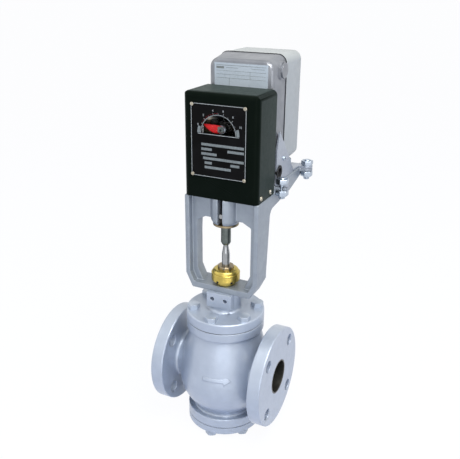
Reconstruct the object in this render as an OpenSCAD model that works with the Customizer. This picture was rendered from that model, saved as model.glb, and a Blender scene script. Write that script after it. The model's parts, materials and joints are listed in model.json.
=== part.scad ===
// Motorised globe valve with flanged ends, a bolted bonnet, a cast yoke and a rack lift that
// a control motor turns.
// Millimetres. X runs along the pipe to the outlet, Y from the dial at the front to the motor, Z up the stem.
// The origin is the centre of the inlet flange face. The valve is drawn closed.

/* [Pipe ends] */
// Bore of the two ports
port_d = 50; // [44:1:52]
// Length over the two flange faces
face_to_face = 182; // [178:1:230]
// Outside diameter of a pipe flange
flange_d = 155; // [150:1:165]
// Thickness of a pipe flange
flange_t = 20; // [16:1:21]
// Round of the outer edges of a pipe flange
flange_edge = 1.6; // [0.5:0.1:3]
// Pitch circle of the flange bolt holes
flange_pcd = 120; // [118:1:125]
// Diameter of a flange bolt hole
flange_hole_d = 19; // [15:0.5:19.5]
// Number of bolt holes in a pipe flange
flange_holes = 4; // [4:4:8]
// Diameter of the pipe hub behind a flange
hub_d = 72; // [70:1:80]
// Growth in radius of the hub where it flares into the bulb
hub_flare = 14; // [8:1:16]
// Length of that flare along the pipe
hub_flare_len = 28; // [20:1:32]

/* [Valve body] */
// Diameter of the bulb
bulb_d = 143; // [136:1:146]
// Depth of the middle of the bulb below the pipe
bulb_drop = 11; // [6:1:13]
// Wall of the casting
wall_t = 9; // [7:0.5:10]
// Bore of the upper and lower openings
opening_d = 76; // [70:1:78]
// Outside diameter of the upper neck
neck_d = 111; // [108:1:114]
// Height of the upper joint face above the pipe
upper_face_h = 84.8; // [82:0.2:100]
// Diameter of the upper flange and of the bonnet
upper_flange_d = 119.4; // [118:0.2:124]
// Thickness of the upper flange
upper_flange_t = 14; // [12:0.5:18]
// Outside diameter of the lower neck
lower_neck_d = 100; // [96:1:108]
// Depth of the lower joint face below the pipe
lower_face_h = 83.7; // [82:0.1:100]
// Diameter of the lower flange and of the bottom cover
lower_flange_d = 117.4; // [117:0.2:122]
// Thickness of the lower flange
lower_flange_t = 14.7; // [13.5:0.1:18]
// Thickness of the bottom cover
bottom_cover_t = 12; // [10:0.5:16]
// Thickness of the web that carries the seat
web_t = 8; // [6:0.5:9]
// Thickness of a joint gasket
gasket_t = 1; // [0.5:0.1:2]

/* [Cover bolts] */
// Thread diameter of the bonnet and bottom cover bolts
cover_bolt_d = 10; // [8:0.5:10]
// Width of a bolt head across its flats
cover_bolt_af = 17; // [13:0.5:17]
// Height of a bolt head
cover_bolt_head_h = 7; // [5:0.5:8]
// Length of a bolt under its head
cover_bolt_len = 25; // [22:0.5:25]
// Number of bolts in each cover
cover_bolts = 6; // [4:1:8]

/* [Plug and stem] */
// Bore of the seat ring
seat_d = 46; // [40:1:47]
// Outside diameter of the seat ring
seat_flange_d = 60; // [58:1:62]
// Height of the seat ring above its web
seat_lip_h = 4; // [3:0.5:5]
// Width of the seating bevel
seat_bevel = 3; // [1.5:0.5:3]
// Diameter of the stem
stem_d = 12; // [10:0.5:12]
// Lift of the plug from closed to open
lift_h = 27.9; // [20:0.1:27.9]
// Thickness of the seating disc of the plug
plug_t = 10; // [8:0.5:12]
// Diameter of the plug hub
plug_hub_d = 24; // [20:1:26]
// Height of the plug hub above its disc
plug_hub_h = 12; // [10:0.5:12]
// Length of the shaped nose under the disc
plug_nose_h = 32; // [24:1:34]
// Diameter of the cross pin of the plug
plug_pin_d = 4; // [3:0.5:5]
// Outside diameter of the stem guide bushes
guide_bush_d = 18; // [16:0.5:18]
// Length of the lower guide bush
lower_bush_len = 34; // [32:1:38]
// Length of the upper guide bush
upper_bush_len = 20; // [14:1:20]

/* [Bonnet and packing] */
// Thickness of the bonnet flange
bonnet_t = 15; // [13:0.5:15]
// Diameter of the bonnet neck
bonnet_neck_d = 48; // [46:1:52]
// Height of the bonnet neck above its flange
bonnet_neck_h = 32.2; // [32:0.2:40]
// Round at the foot of the bonnet neck
bonnet_round = 5; // [3:0.5:6]
// Width of the drilled pad on the bonnet neck
pad_w = 40; // [38:1:44]
// Height of the drilled pad
pad_h = 24; // [20:1:26]
// Distance of the pad face in front of the stem axis
pad_reach = 25; // [24.5:0.5:27]
// Diameter of the two pad holes
pad_hole_d = 6; // [4:0.5:7]
// Distance between the pad holes
pad_hole_gap = 21.4; // [18:0.2:22]
// Depth of the pad holes
pad_hole_depth = 9; // [6:0.5:10]
// Diameter of the threaded spigot that passes up through the yoke
spigot_d = 28; // [27:0.5:30]
// Bore of the packing box
packing_d = 20; // [19:0.5:20]
// Number of packing rings
packing_count = 5; // [3:1:5]
// Height of one packing ring
packing_ring_h = 4; // [3:0.25:4]
// Diameter of the clamp nut on the yoke floor
clamp_nut_d = 35; // [34:0.5:38]
// Height of the clamp nut
clamp_nut_h = 5.5; // [5:0.5:8]
// Diameter of the packing nut
packing_nut_d = 41.4; // [38:0.2:44]
// Height of the straight side of the packing nut
packing_nut_h = 11; // [10:0.5:13]
// Height of the domed top of the packing nut
packing_dome_h = 7.5; // [6:0.5:9]
// Diameter of the tommy bar holes round the packing nut
tommy_d = 4; // [3:0.5:5]
// Number of tommy bar holes
tommy_holes = 6; // [4:1:8]
// Diameter of the wiper ring on the packing nut
wiper_d = 24; // [20:0.5:25]
// Height of the wiper ring
wiper_h = 5; // [3:0.5:7]

/* [Yoke] */
// Width over the two arms
yoke_w = 116.4; // [116:0.2:122]
// Height from the foot of the yoke to its deck
yoke_h = 158; // [156:1:190]
// Thickness of the arm plates
arm_t = 7.2; // [6:0.2:8]
// Thickness of the yoke floor
yoke_floor_t = 9; // [8:0.5:11]
// Reach of the yoke in front of the stem axis
yoke_front = 18.6; // [17:0.2:18.8]
// Reach of the yoke floor behind the stem axis
yoke_rear = 19; // [18:0.5:24]
// Width of the sloping lower corner of an arm
arm_chamfer_w = 10.6; // [8:0.2:12]
// Height of the sloping lower corner of an arm
arm_chamfer_h = 22; // [18:1:26]
// Width of the inner rib of an arm
rib_w = 8; // [6:0.5:8]
// Thickness of the inner rib and of the top web
rib_t = 17; // [14:0.5:18]
// Height from the deck down to the window of the yoke
window_drop = 44.5; // [42:0.5:46]
// Diameter of the boss that guides the rod
boss_d = 44; // [42:1:46]
// Depth of the boss under the deck
boss_drop = 51; // [49:0.5:54]
// Height of the boss above the deck
boss_rise = 5; // [3:0.5:6]
// Height of the bronze ring under the boss
boss_ring_h = 3; // [2:0.5:4]
// Width of the slot down the front of the boss
slot_w = 7.2; // [6:0.2:8]
// Thickness of the deck and of its ears
deck_t = 6; // [5:0.5:7]
// Reach of the shelf behind the motor
shelf_over = 3; // [1:0.5:8]
// Distance from the stem axis to the front studs
stud_front_y = 48; // [47.5:0.5:52]
// Distance from the end of the shelf to the rear studs
stud_rear_in = 2; // [0:0.5:6]
// Distance between left and right studs
stud_pitch_x = 134; // [134:1:140]
// Radius of an ear
ear_r = 9; // [8.5:0.5:11]

/* [Linkage cover] */
// Width of the linkage cover
cover_w = 114; // [113.8:0.2:115]
// Height of the linkage cover
cover_h = 149.8; // [146:0.2:160]
// Reach of the cover in front of the stem axis
cover_front = 20.5; // [20.2:0.1:24]
// Reach of the cover behind the stem axis
cover_rear = 42.3; // [38:0.1:42.8]
// Wall of the cover
cover_t = 1.5; // [1:0.1:1.6]
// Round of the cover edges
cover_round = 8; // [5:0.5:10]
// Height of the deck above the lower edge of the cover
ledge_drop = 11.6; // [10:0.2:14]
// Width of the dial plate
dial_w = 84.5; // [80:0.5:90]
// Height of the dial plate
dial_h = 103.2; // [98:0.2:106]
// Thickness of the dial plate
dial_t = 0.8; // [0.5:0.1:1.2]
// Height of the dial plate above the lower edge of the cover
dial_rise = 31.9; // [28:0.1:34]
// Radius of the half-round window
dial_window_r = 26; // [22:0.5:28]

/* [Rack lift] */
// Height of the cross shaft above the deck
spindle_h = 87; // [86:0.5:90]
// Distance of the cross shaft to the right of the stem axis
spindle_side = -2.5; // [-4:0.5:-2]
// Diameter of the cross shaft
shaft_d = 8; // [7:0.5:9]
// Teeth of the pinion
pinion_teeth = 16; // [16:1:18]
// Gear module
gear_module = 1.25; // [1.1:0.05:1.25]
// Width of the pinion
pinion_t = 9; // [7:0.5:9]
// Width of the rack
rack_t = 10; // [8:0.5:10]
// Depth of the rack behind its tooth roots
rack_back = 8; // [6:0.5:8]
// Diameter of the lifter rod
rod_d = 14.8; // [14:0.2:16]
// Length of the rod below the boss when the valve is closed
rod_show = 35; // [32:0.5:36]
// Diameter of the guide pin in the slot
guide_pin_d = 7; // [5:0.2:7]
// Thickness of the crosshead
crosshead_h = 12; // [10:0.5:13]
// Depth of the crosshead from front to back
crosshead_d = 16; // [13:0.5:16]
// Radius of the pointer from its hub to its tip
pointer_r = 26; // [20:0.5:29]
// Width of the pointer at its base
pointer_w = 12; // [9:0.5:13]
// Thickness of the pointer
pointer_t = 1.2; // [0.8:0.1:1.6]
// Thickness of the bearing bracket
bracket_t = 6; // [5:0.5:8]

/* [Motor mounting] */
// Thickness of the mounting plate and of its gussets
plate_t = 3.2; // [2:0.2:4]
// Thread diameter of the studs
stud_d = 10; // [8:0.5:10]
// Width of the stud nuts across their flats
stud_nut_af = 17; // [15:0.5:17]
// Height of a lower stud nut
stud_nut_h = 8; // [6:0.5:9]
// Height of an upper stud nut
top_nut_h = 6; // [5:0.5:8]
// Thickness of a stud washer
washer_t = 2; // [1:0.2:2.5]
// Height of the spacers under the motor
spacer_h = 13.8; // [12:0.2:18]
// Height of a side gusset above the deck
gusset_h = 72; // [60:1:80]
// Diameter of the cable grommet in the right gusset
grommet_d = 17; // [14:0.5:18]

/* [Control motor] */
// Width of the motor at the seam of its two housings
motor_w = 104; // [100:0.5:104]
// Height of the motor
motor_h = 163; // [150:1:180]
// Distance from the stem axis to the motor front
motor_front_y = 45; // [44.5:0.5:46]
// Depth of the die-cast front housing
housing_depth = 40; // [38:1:50]
// Depth of the moulded rear cover
rear_depth = 70; // [60:1:80]
// Wall of the front housing
housing_t = 3; // [2:0.25:3.5]
// Wall of the rear cover
rear_t = 2.5; // [2:0.25:3]
// Radius of the motor corners
motor_corner_r = 13; // [10:0.5:16]
// Loss of half width and of height from the seam to the front
motor_taper = 2.5; // [1:0.25:3]
// Thickness of the gearbox
gearbox_t = 23; // [18:0.5:24]
// Diameter of the drive motor can
can_d = 54; // [40:1:56]
// Length of the drive motor can
can_len = 40; // [30:1:46]
// Radius of the switch cams
cam_r = 15; // [12:0.5:17]

/* [Hidden] */
$fn = 64;

// Colours
silver_paint = [0.74, 0.77, 0.84];
yoke_paint = [0.62, 0.66, 0.72];
steel = [0.72, 0.73, 0.74];
dark_steel = [0.42, 0.44, 0.45];
zinc = [0.72, 0.77, 0.82];
brass = [0.83, 0.66, 0.22];
bronze = [0.68, 0.50, 0.26];
black_paint = [0.06, 0.07, 0.06];
red_paint = [0.86, 0.12, 0.10];
cast_silver = [0.70, 0.70, 0.74];
pale_plastic = [0.80, 0.83, 0.83];
rubber = [0.07, 0.07, 0.07];
clear = [0.85, 0.90, 0.92, 0.4];
packing_grey = [0.30, 0.30, 0.28];

// Clearances and overruns
cut = 1;             // overrun of a cutting shape
run_fit = 0.05;      // radial clearance of a running fit
seat_fit = 0.02;     // radial clearance of a fixed bush or pin
thread_fit = 0.1;    // radial clearance of a screwed joint
bolt_fit = 0.3;      // radial clearance of a bolt in its hole
body_gap = 0.3;      // clearance between moving pieces at rest
plug_clear = 0.5;    // radial clearance of the plug skirt in the seat
register_fit = 0.15; // radial clearance of a cover in its opening
cover_fit = 0.1;     // clearance of the linkage cover over the yoke
dry_gap = 1;         // clearance at the blind end of a hole

// Small sizes of the body and its covers
cast_round = 8;
flange_round = 5;
step_round = 3;
register_h = 6;
web_shoulder = 3;
web_shift = 6;
web_run = 16;
web_over_port = 1;
cover_edge = 1.2;
plug_edge = 3;
plug_skirt = 4;
plug_root = 3;
plug_nose_share = 0.4;
lower_boss_wall = 5;
bush_well_depth = 4;
pad_hole_drop = 10.3;

// Small sizes of the packing
box_wall_over_bush = 5;
chevron_h = 2;
spigot_reach = 7;
land_gap = 1;
follower_h = 9;
packing_washer_t = 3;
packing_clear = 0.05;
spring_wire_r = 1;
spring_turns = 5;
nut_edge = 1;
dome_shares = [0.25, 0.8];
tommy_rise = 3.6;
tommy_depth = 3.2;
clamp_edge = 0.8;
wiper_edge = 0.6;
wiper_wall = 2.4;
wiper_spigot_h = 4;

// Small sizes of the yoke
arm_bend_h = 30;
arm_lean = 8.4;
shelf_start_drop = 32.8;
shelf_mid_share = 0.625;
shelf_mid_drop = 24.6;
shelf_tail = 8;
shelf_tail_rise = 2;
shelf_end_drop = 11;
shelf_round = 12;
haunch_drop = 7;
haunch_out = 8;
window_foot_in = 9.7;
window_chamfer_h = 22;
bush_wall = 3;
bush_len = 9;
step_gap = 0.5;

// Screws
screw_d = 4;
screw_head_d = 7;
screw_head_h = 2.2;
screw_head_draft = 1;
screw_hold = 6;
dial_screw_d = 2.5;
dial_screw_head_d = 4.6;
dial_screw_head_h = 1;
dial_screw_in = 2.8;
cover_screw_rise = 7.5;
cover_screw_front_in = 12.6;
cover_screw_rear_in = 16.5;

// Small sizes of the lifter
stem_taper_drop = 15;
stem_tail_drop = 2.5;
stem_tail_r = 3.9;
stem_tail_len = 22;
stem_tail_gap = 2;
rod_chamfer = 2;
rod_thread_r = 5;
crosshead_rise = 15;
crosshead_nut_af = 13;
crosshead_nut_h = 5;
crosshead_side = 2;
crosshead_right = 8;
guide_pin_rise = 14;
guide_pin_reach = 18;
guide_pin_root = 2;
rack_screw_hold = 10;
rack_over = 12;
rack_high_teeth = 2;
rack_spare = 4;
pressure_angle = 20;
tooth_thin = 0.16;
mesh_gap = 0.1;
rack_addendum_share = 0.8;
dedendum_share = 1.2;
rack_guide_w = 10;
rack_guide_h = 22;

// Small sizes of the cross shaft and dial
pointer_front = 12;
pointer_tilt = 5;
pointer_neck_share = 0.72;
pointer_neck_w_share = 0.34;
pointer_tail_share = 0.45;
pointer_tail_w_share = 0.35;
hub_front = 14.5;
hub_t = 3;
hub_wall = 2;
bracket_gap = 1.5;
bracket_half = 50;
bracket_shoulder = 12;
bracket_foot_h = 5;
bracket_foot_depth = 22;
bracket_arch_gap = 3.5;
bracket_waist = 7;
bracket_screw_x = 40;
bracket_screw_in = 6;
bearing_wall = 3;
bearing_lip = 2;
bearing_lip_t = 1;
shaft_tail = 6;
pane_t = 1;
pane_lap = 3;
dial_window_drop = 4.5;

// Small sizes of the motor and its mounting
plate_gap = 1;
plate_tail = 4;
gusset_gap = 0.3;
gusset_start = 9;
gusset_slope = 9;
gusset_back = 44;
gusset_foot = 20;
gusset_front_share = 0.65;
gusset_back_share = 0.3;
gusset_screw_in = 35;
gusset_screw_rise = 29;
grommet_in = 19;
grommet_rise = 12.5;
grommet_wall = 2.5;
grommet_lip = 1.5;
stud_tail = 5;
stud_tip = 1.5;
spacer_af = 13;
spacer_x = 40;
spacer_front_in = 25;
spacer_rear_in = 20;
slice_t = 0.5;
front_edge = 4;
rear_edge = 6;
corner_post_r = 7;
housing_screw_in = 14;
housing_screw_rise = 18;
housing_screw_hold = 12;
gear_plate_t = 3;
gear_plate_gap = 0.3;
gear_plate_in = 4;
gearbox_w = 76;
gearbox_drop = 30;
gearbox_h = 68;
gearbox_floor = 2;
can_rise = 20;
cam_front = 1;
cam_t = 2.5;
cam_gap = 1;
cam_lobe = 2;
cam_lobe_turn = 160;
cam_lobe_start = 70;
cam_lobe_w_share = 0.67;
switch_w = 16;
switch_h = 12;
switch_pitch = 24;
terminal_w = 64;
terminal_depth = 18;
terminal_h = 16;
terminal_rise = 14;
terminal_count = 6;
terminal_rib = 2;
terminal_floor = 7;
plug_boss_r = 13;
plug_boss_out = 0.8;
plug_thread_r = 8;
plug_head_r = 11;
plug_head_h = 3;
plug_in = 27;
plug_drop = 20;
label_w = 82;
label_h = 60;
label_drop = 71;
label_t = 0.6;

// Radii
port_r = port_d / 2;
hub_r = hub_d / 2;
bulb_r = bulb_d / 2;
opening_r = opening_d / 2;
upper_flange_r = upper_flange_d / 2;
lower_flange_r = lower_flange_d / 2;
seat_spigot_r = (seat_d + seat_flange_d) / 4;
upper_pitch_r = (opening_d + upper_flange_d) / 4;
lower_pitch_r = (opening_d + lower_flange_d) / 4;
stem_r = stem_d / 2;
spigot_r = spigot_d / 2;
wiper_spigot_r = stem_r + wiper_wall;
lower_boss_r = guide_bush_d / 2 + lower_boss_wall;
rod_r = rod_d / 2;
shaft_r = shaft_d / 2;
bearing_r = shaft_r + bearing_wall;

// Places along the pipe, from the stem axis
half_len = face_to_face / 2;
flange_back = half_len - flange_t;
web_reach = seat_flange_d / 2 + web_shoulder;
far = face_to_face;

// Heights of the valve, from the pipe axis
body_top = upper_face_h;
body_bottom = -lower_face_h;
bonnet_z = body_top + gasket_t;
bonnet_top = bonnet_z + bonnet_t;
yoke_z = bonnet_top + bonnet_neck_h;
yoke_floor_z = yoke_z + yoke_floor_t;
bottom_cover_top = body_bottom - gasket_t;
bottom_cover_z = bottom_cover_top - bottom_cover_t;
seat_z = web_t / 2 + seat_lip_h;
plug_z = seat_z + body_gap;
plug_top = plug_z + plug_t + plug_hub_h;
bush_well_z = bottom_cover_z + bush_well_depth;
stem_bottom = bush_well_z + dry_gap;
lower_bush_z = stem_bottom + dry_gap;
lower_bush_top = lower_bush_z + lower_bush_len;
upper_bush_z = bonnet_z - register_h;
packing_floor = upper_bush_z + upper_bush_len + box_wall_over_bush;
nut_z = yoke_floor_z + clamp_nut_h;
box_top = nut_z + spigot_reach;
land_z = box_top + land_gap;
nut_top = nut_z + packing_nut_h + packing_dome_h;
packing_top = land_z - follower_h;
packing_z = packing_top - packing_count * packing_ring_h;

// Heights of the yoke and of what it carries
deck_z = yoke_z + yoke_h;
ledge_z = deck_z - ledge_drop;
boss_z = deck_z - boss_drop;
boss_top = deck_z + boss_rise;
window_top = deck_z - window_drop;
rod_z = boss_z - rod_show;
stem_taper_z = rod_z - stem_taper_drop;
stem_tail_z = rod_z - stem_tail_drop;
guide_pin_z = boss_z + guide_pin_rise;
crosshead_z = deck_z + crosshead_rise;
spindle_x = spindle_side;
spindle_z = deck_z + spindle_h;
dial_z = ledge_z + dial_rise;
dial_window_z = spindle_z - dial_window_drop;

// Rack and pinion
pitch_r = pinion_teeth * gear_module / 2;
pinion_root_r = pitch_r - dedendum_share * gear_module;
pinion_tip_r = pitch_r + gear_module;
rack_x = spindle_x - pitch_r - mesh_gap;
rack_pitch = PI * gear_module;
rack_root_x = rack_x - dedendum_share * gear_module - mesh_gap;
rack_back_x = rack_root_x - rack_back;
rack_z = crosshead_z + crosshead_h;
rack_top = spindle_z + rack_over;
rack_low_teeth = ceil((lift_h + rack_spare) / rack_pitch) + 1;
rack_screw_x = rack_back_x + rack_back / 2;
crosshead_left = rack_back_x - crosshead_side;

// Yoke
seam_y = motor_front_y + housing_depth;
motor_back_y = seam_y + rear_depth;
shelf_reach = motor_back_y + shelf_over;
shelf_mid_y = yoke_rear + (shelf_reach - yoke_rear) * shelf_mid_share;
stud_rear_y = shelf_reach - stud_rear_in;
yoke_half = yoke_w / 2;
arm_x = yoke_half - arm_t;
rib_x = arm_x - rib_w;
floor_half = yoke_half - arm_chamfer_w;
step_half = cover_w / 2 - cover_t - cover_fit;
stud_x = stud_pitch_x / 2;
haunch_x = boss_d / 2 + haunch_out;
window_floor_half = rib_x - window_foot_in;

// Cross shaft
bracket_y = crosshead_d / 2 + bracket_gap;
bracket_arch = boss_d / 2 + bracket_arch_gap;
bracket_screw_y = bracket_y + bracket_foot_depth - bracket_screw_in;
shaft_front_y = dry_gap - hub_front;
shaft_end_y = seam_y - shaft_tail;

// Motor and its mounting
plate_top = deck_z + plate_t;
plate_front_y = cover_rear + plate_gap;
plate_back_y = shelf_reach + plate_tail;
motor_z = plate_top + spacer_h;
motor_top = motor_z + motor_h;
gusset_x = motor_w / 2 + gusset_gap;
gusset_front_y = motor_front_y + gusset_start;
gusset_screw_y = motor_front_y + gusset_screw_in;
gusset_screw_z = plate_top + gusset_screw_rise;
grommet_y = plate_front_y + grommet_in;
grommet_z = plate_top + grommet_rise;
top_nut_z = plate_top + washer_t;
low_nut_z = deck_z - deck_t - stud_nut_h;
stud_top = top_nut_z + top_nut_h + stud_tip;
stud_bottom = low_nut_z - stud_tail;
plug_y = motor_front_y + plug_in;
plug_axis_z = motor_top - plug_drop;
cam_y = motor_front_y + housing_t + cam_front;
cam_lobe_w = cam_r * cam_lobe_w_share;
gear_plate_y = seam_y - gear_plate_t;
gearbox_y = gear_plate_y - gearbox_t;
inner_wall_y = seam_y - gear_plate_gap;

// Moves the valve, drawn round its stem axis, to the frame of the part
module at_valve() {
    translate([face_to_face / 2, 0, 0]) children();
}

module along_x() {
    rotate([0, 90, 0]) children();
}

module along_y() {
    rotate([-90, 0, 0]) children();
}

module both_sides() {
    children();
    mirror([1, 0, 0]) children();
}

// Plate that faces the front, from its outline in X and Z
module front_plate(y, t) {
    translate([0, y + t, 0]) rotate([90, 0, 0]) linear_extrude(t) children();
}

// Plate that faces sideways, from its outline in Y and Z
module side_plate(x, t) {
    translate([x, 0, 0]) rotate([90, 0, 90]) linear_extrude(t) children();
}

module tube(r_out, r_in, h) {
    rotate_extrude() translate([r_in, 0]) square([r_out - r_in, h]);
}

module hexagon(af, h) {
    cylinder(h = h, d = af / cos(30), $fn = 6);
}

function unit(v) = v / norm(v);

// Fills the hollow corner at q, between the edges to p and to s, with a round
module corner_round(p, q, s, r) {
    to_p = unit(p - q);
    to_s = unit(s - q);
    middle = unit(to_p + to_s);
    half = acos(to_p * to_s) / 2;
    reach = r / tan(half);
    centre = q + middle * r / sin(half);
    difference() {
        polygon([q - middle * reach, q + to_p * reach, centre, q + to_s * reach]);
        translate(centre) circle(r);
    }
}

// Rectangle whose two upper corners are round
module arch(w, h, r) {
    translate([-w / 2, 0]) square([w, h - r]);
    translate([r - w / 2, h - r - cut]) square([w - 2 * r, r + cut]);
    for (side = [-1, 1]) translate([side * (w / 2 - r), h - r]) circle(r);
}

// Rectangle whose four corners are round
module pillow(w, h, r) {
    translate([-w / 2, r]) square([w, h - 2 * r]);
    translate([r - w / 2, 0]) square([w - 2 * r, h]);
    for (side = [-1, 1], z = [r, h - r]) translate([side * (w / 2 - r), z]) circle(r);
}

module cover_bolt_places(pitch) {
    for (i = [0 : cover_bolts - 1])
        rotate(i * 360 / cover_bolts - 90) translate([pitch, 0, 0]) children();
}

// Half section of a disc whose upper and lower outer edges are round, where their radii aren't 0
module disc_outline(r, z0, z1, low, high) {
    translate([0, z0]) square([r - max(low, high), z1 - z0]);
    translate([0, z0 + low]) square([r, z1 - z0 - low - high]);
    translate([0, z0]) square([r - low, z1 - z0 - high]);
    translate([0, z0 + low]) square([r - high, z1 - z0 - low]);
    if (low > 0) translate([r - low, z0 + low]) circle(low);
    if (high > 0) translate([r - high, z1 - high]) circle(high);
}

// Hex bolt whose head stands on the plane z = 0 and whose shank points down
module cover_bolt() {
    hexagon(cover_bolt_af, cover_bolt_head_h);
    translate([0, 0, -cover_bolt_len]) cylinder(h = cover_bolt_len, d = cover_bolt_d);
}

// Fillet between the bulb and a neck, above it with side 1 and below it with side -1
module bulb_round(r, side) {
    centre = [r + cast_round, side * sqrt(pow(bulb_r + cast_round, 2) - pow(r + cast_round, 2)) - bulb_drop];
    middle = [0, -bulb_drop];
    touch = middle + (centre - middle) * bulb_r / (bulb_r + cast_round);
    difference() {
        polygon([[r - cut, centre[1]], centre, touch, [r - cut, touch[1]]]);
        translate(centre) circle(cast_round);
    }
}

module body_outline() {
    neck_r = neck_d / 2;
    lower_r = lower_neck_d / 2;
    upper_edge = body_top - upper_flange_t;
    lower_edge = body_bottom + lower_flange_t;
    intersection() {
        translate([0, body_bottom]) square([far, body_top - body_bottom]);
        union() {
            translate([0, -bulb_drop]) circle(bulb_r);
            translate([0, -bulb_drop]) square([neck_r, body_top + bulb_drop]);
            translate([0, body_bottom]) square([lower_r, lower_face_h - bulb_drop]);
            disc_outline(upper_flange_r, upper_edge, body_top, cover_edge, 0);
            disc_outline(lower_flange_r, body_bottom, lower_edge, 0, cover_edge);
            bulb_round(neck_r, 1);
            bulb_round(lower_r, -1);
            corner_round([neck_r, 0], [neck_r, upper_edge], [far, upper_edge], step_round);
            corner_round([lower_r, 0], [lower_r, lower_edge], [far, lower_edge], step_round);
        }
    }
}

// Radius of one pipe end against its distance from the stem axis
module pipe_end_outline() {
    flare_end = flange_back - flange_round;
    square([hub_r, half_len - flange_edge]);
    polygon([
        [0, flare_end - hub_flare_len], [hub_r + hub_flare, flare_end - hub_flare_len],
        [hub_r, flare_end], [0, flare_end]
    ]);
    disc_outline(flange_d / 2, flange_back, half_len, flange_edge, flange_edge);
    corner_round([hub_r, 0], [hub_r, flange_back], [far, flange_back], flange_round);
}

// Passages over and under the seat, which the web parts
module passages() {
    edge = port_r + web_over_port;
    over = [
        [-far, far], [-far, edge + web_t], [-web_reach - web_run, edge + web_t], [-web_reach, web_t / 2],
        [web_reach + web_shift, web_t / 2], [web_reach + web_shift + web_run, -edge], [far, -edge], [far, far]
    ];
    polygon(over);
    polygon(-over);
}

module body_cavity() {
    intersection() {
        union() {
            translate([0, 0, -bulb_drop]) sphere(bulb_r - wall_t);
            translate([0, 0, -bulb_drop])
                cylinder(h = body_top - upper_flange_t + bulb_drop, d = neck_d - 2 * wall_t);
            translate([0, 0, body_bottom + lower_flange_t])
                cylinder(h = lower_face_h - lower_flange_t - bulb_drop, d = lower_neck_d - 2 * wall_t);
            translate([0, 0, body_bottom - cut])
                cylinder(h = body_top - body_bottom + 2 * cut, r = opening_r);
            translate([-half_len - cut, 0, 0]) along_x() cylinder(h = face_to_face + 2 * cut, r = port_r);
        }
        front_plate(-far / 2, far) passages();
    }
    translate([0, 0, -web_t]) cylinder(h = 2 * web_t, r = seat_spigot_r);
}

module valve_body() at_valve() color(silver_paint) difference() {
    upper_depth = cover_bolt_len - bonnet_t - gasket_t + dry_gap;
    lower_depth = cover_bolt_len - bottom_cover_t - gasket_t + dry_gap;
    union() {
        rotate_extrude() body_outline();
        both_sides() along_x() rotate_extrude() difference() {
            pipe_end_outline();
            square([flange_d, flange_back - flange_round - hub_flare_len]);
        }
    }
    body_cavity();
    for (i = [0 : flange_holes - 1])
        rotate([(i + 0.5) * 360 / flange_holes, 0, 0])
            translate([-half_len - cut, 0, flange_pcd / 2])
                along_x() {
                    cylinder(h = flange_t + 2 * cut, d = flange_hole_d);
                    translate([0, 0, face_to_face - flange_t])
                        cylinder(h = flange_t + 2 * cut, d = flange_hole_d);
                }
    cover_bolt_places(upper_pitch_r) translate([0, 0, body_top - upper_depth])
        cylinder(h = upper_depth + cut, d = cover_bolt_d + 2 * bolt_fit);
    cover_bolt_places(lower_pitch_r) translate([0, 0, body_bottom - cut])
        cylinder(h = lower_depth + cut, d = cover_bolt_d + 2 * bolt_fit);
}

module seat_ring() at_valve() color(steel) {
    r = seat_d / 2;
    rotate_extrude() polygon([
        [r, -web_t / 2], [seat_spigot_r - seat_fit, -web_t / 2], [seat_spigot_r - seat_fit, web_t / 2],
        [seat_flange_d / 2, web_t / 2], [seat_flange_d / 2, seat_z], [r + seat_bevel, seat_z],
        [r, seat_z - seat_bevel]
    ]);
}

module joint_gasket(z, r, pitch) {
    translate([0, 0, z]) difference() {
        tube(r - gasket_t, opening_r, gasket_t);
        cover_bolt_places(pitch) translate([0, 0, -cut])
            cylinder(h = gasket_t + 2 * cut, d = cover_bolt_d + 2 * bolt_fit);
    }
}

module bottom_gasket() at_valve() color(packing_grey)
    joint_gasket(body_bottom - gasket_t, lower_flange_r, lower_pitch_r);

module bonnet_gasket() at_valve() color(packing_grey)
    joint_gasket(body_top, upper_flange_r, upper_pitch_r);

module bottom_cover() at_valve() color(silver_paint) difference() {
    register_top = bottom_cover_top + register_h;
    rotate_extrude() {
        disc_outline(lower_flange_r, bottom_cover_z, bottom_cover_top, 2 * cover_edge, 0);
        polygon([
            [0, bottom_cover_z], [opening_r - register_fit, bottom_cover_z],
            [opening_r - register_fit, register_top], [lower_boss_r + step_round, register_top],
            [lower_boss_r, register_top + step_round], [lower_boss_r, lower_bush_top], [0, lower_bush_top]
        ]);
    }
    translate([0, 0, lower_bush_z]) cylinder(h = lower_bush_len + cut, d = guide_bush_d);
    translate([0, 0, bush_well_z]) cylinder(h = lower_bush_len, r = stem_r + bolt_fit);
    cover_bolt_places(lower_pitch_r) translate([0, 0, bottom_cover_z - cut])
        cylinder(h = bottom_cover_t + 2 * cut, d = cover_bolt_d + 2 * bolt_fit);
}

module bottom_bolts() at_valve() color(silver_paint)
    cover_bolt_places(lower_pitch_r) translate([0, 0, bottom_cover_z]) rotate([180, 0, 0]) cover_bolt();

module bonnet_bolts() at_valve() color(silver_paint)
    cover_bolt_places(upper_pitch_r) translate([0, 0, bonnet_top]) cover_bolt();

module lower_guide_bush() at_valve() color(bronze) translate([0, 0, lower_bush_z])
    tube(guide_bush_d / 2 - seat_fit, stem_r + run_fit, lower_bush_len);

module upper_guide_bush() at_valve() color(bronze) translate([0, 0, upper_bush_z])
    tube(guide_bush_d / 2 - seat_fit, stem_r + run_fit, upper_bush_len);

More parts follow.
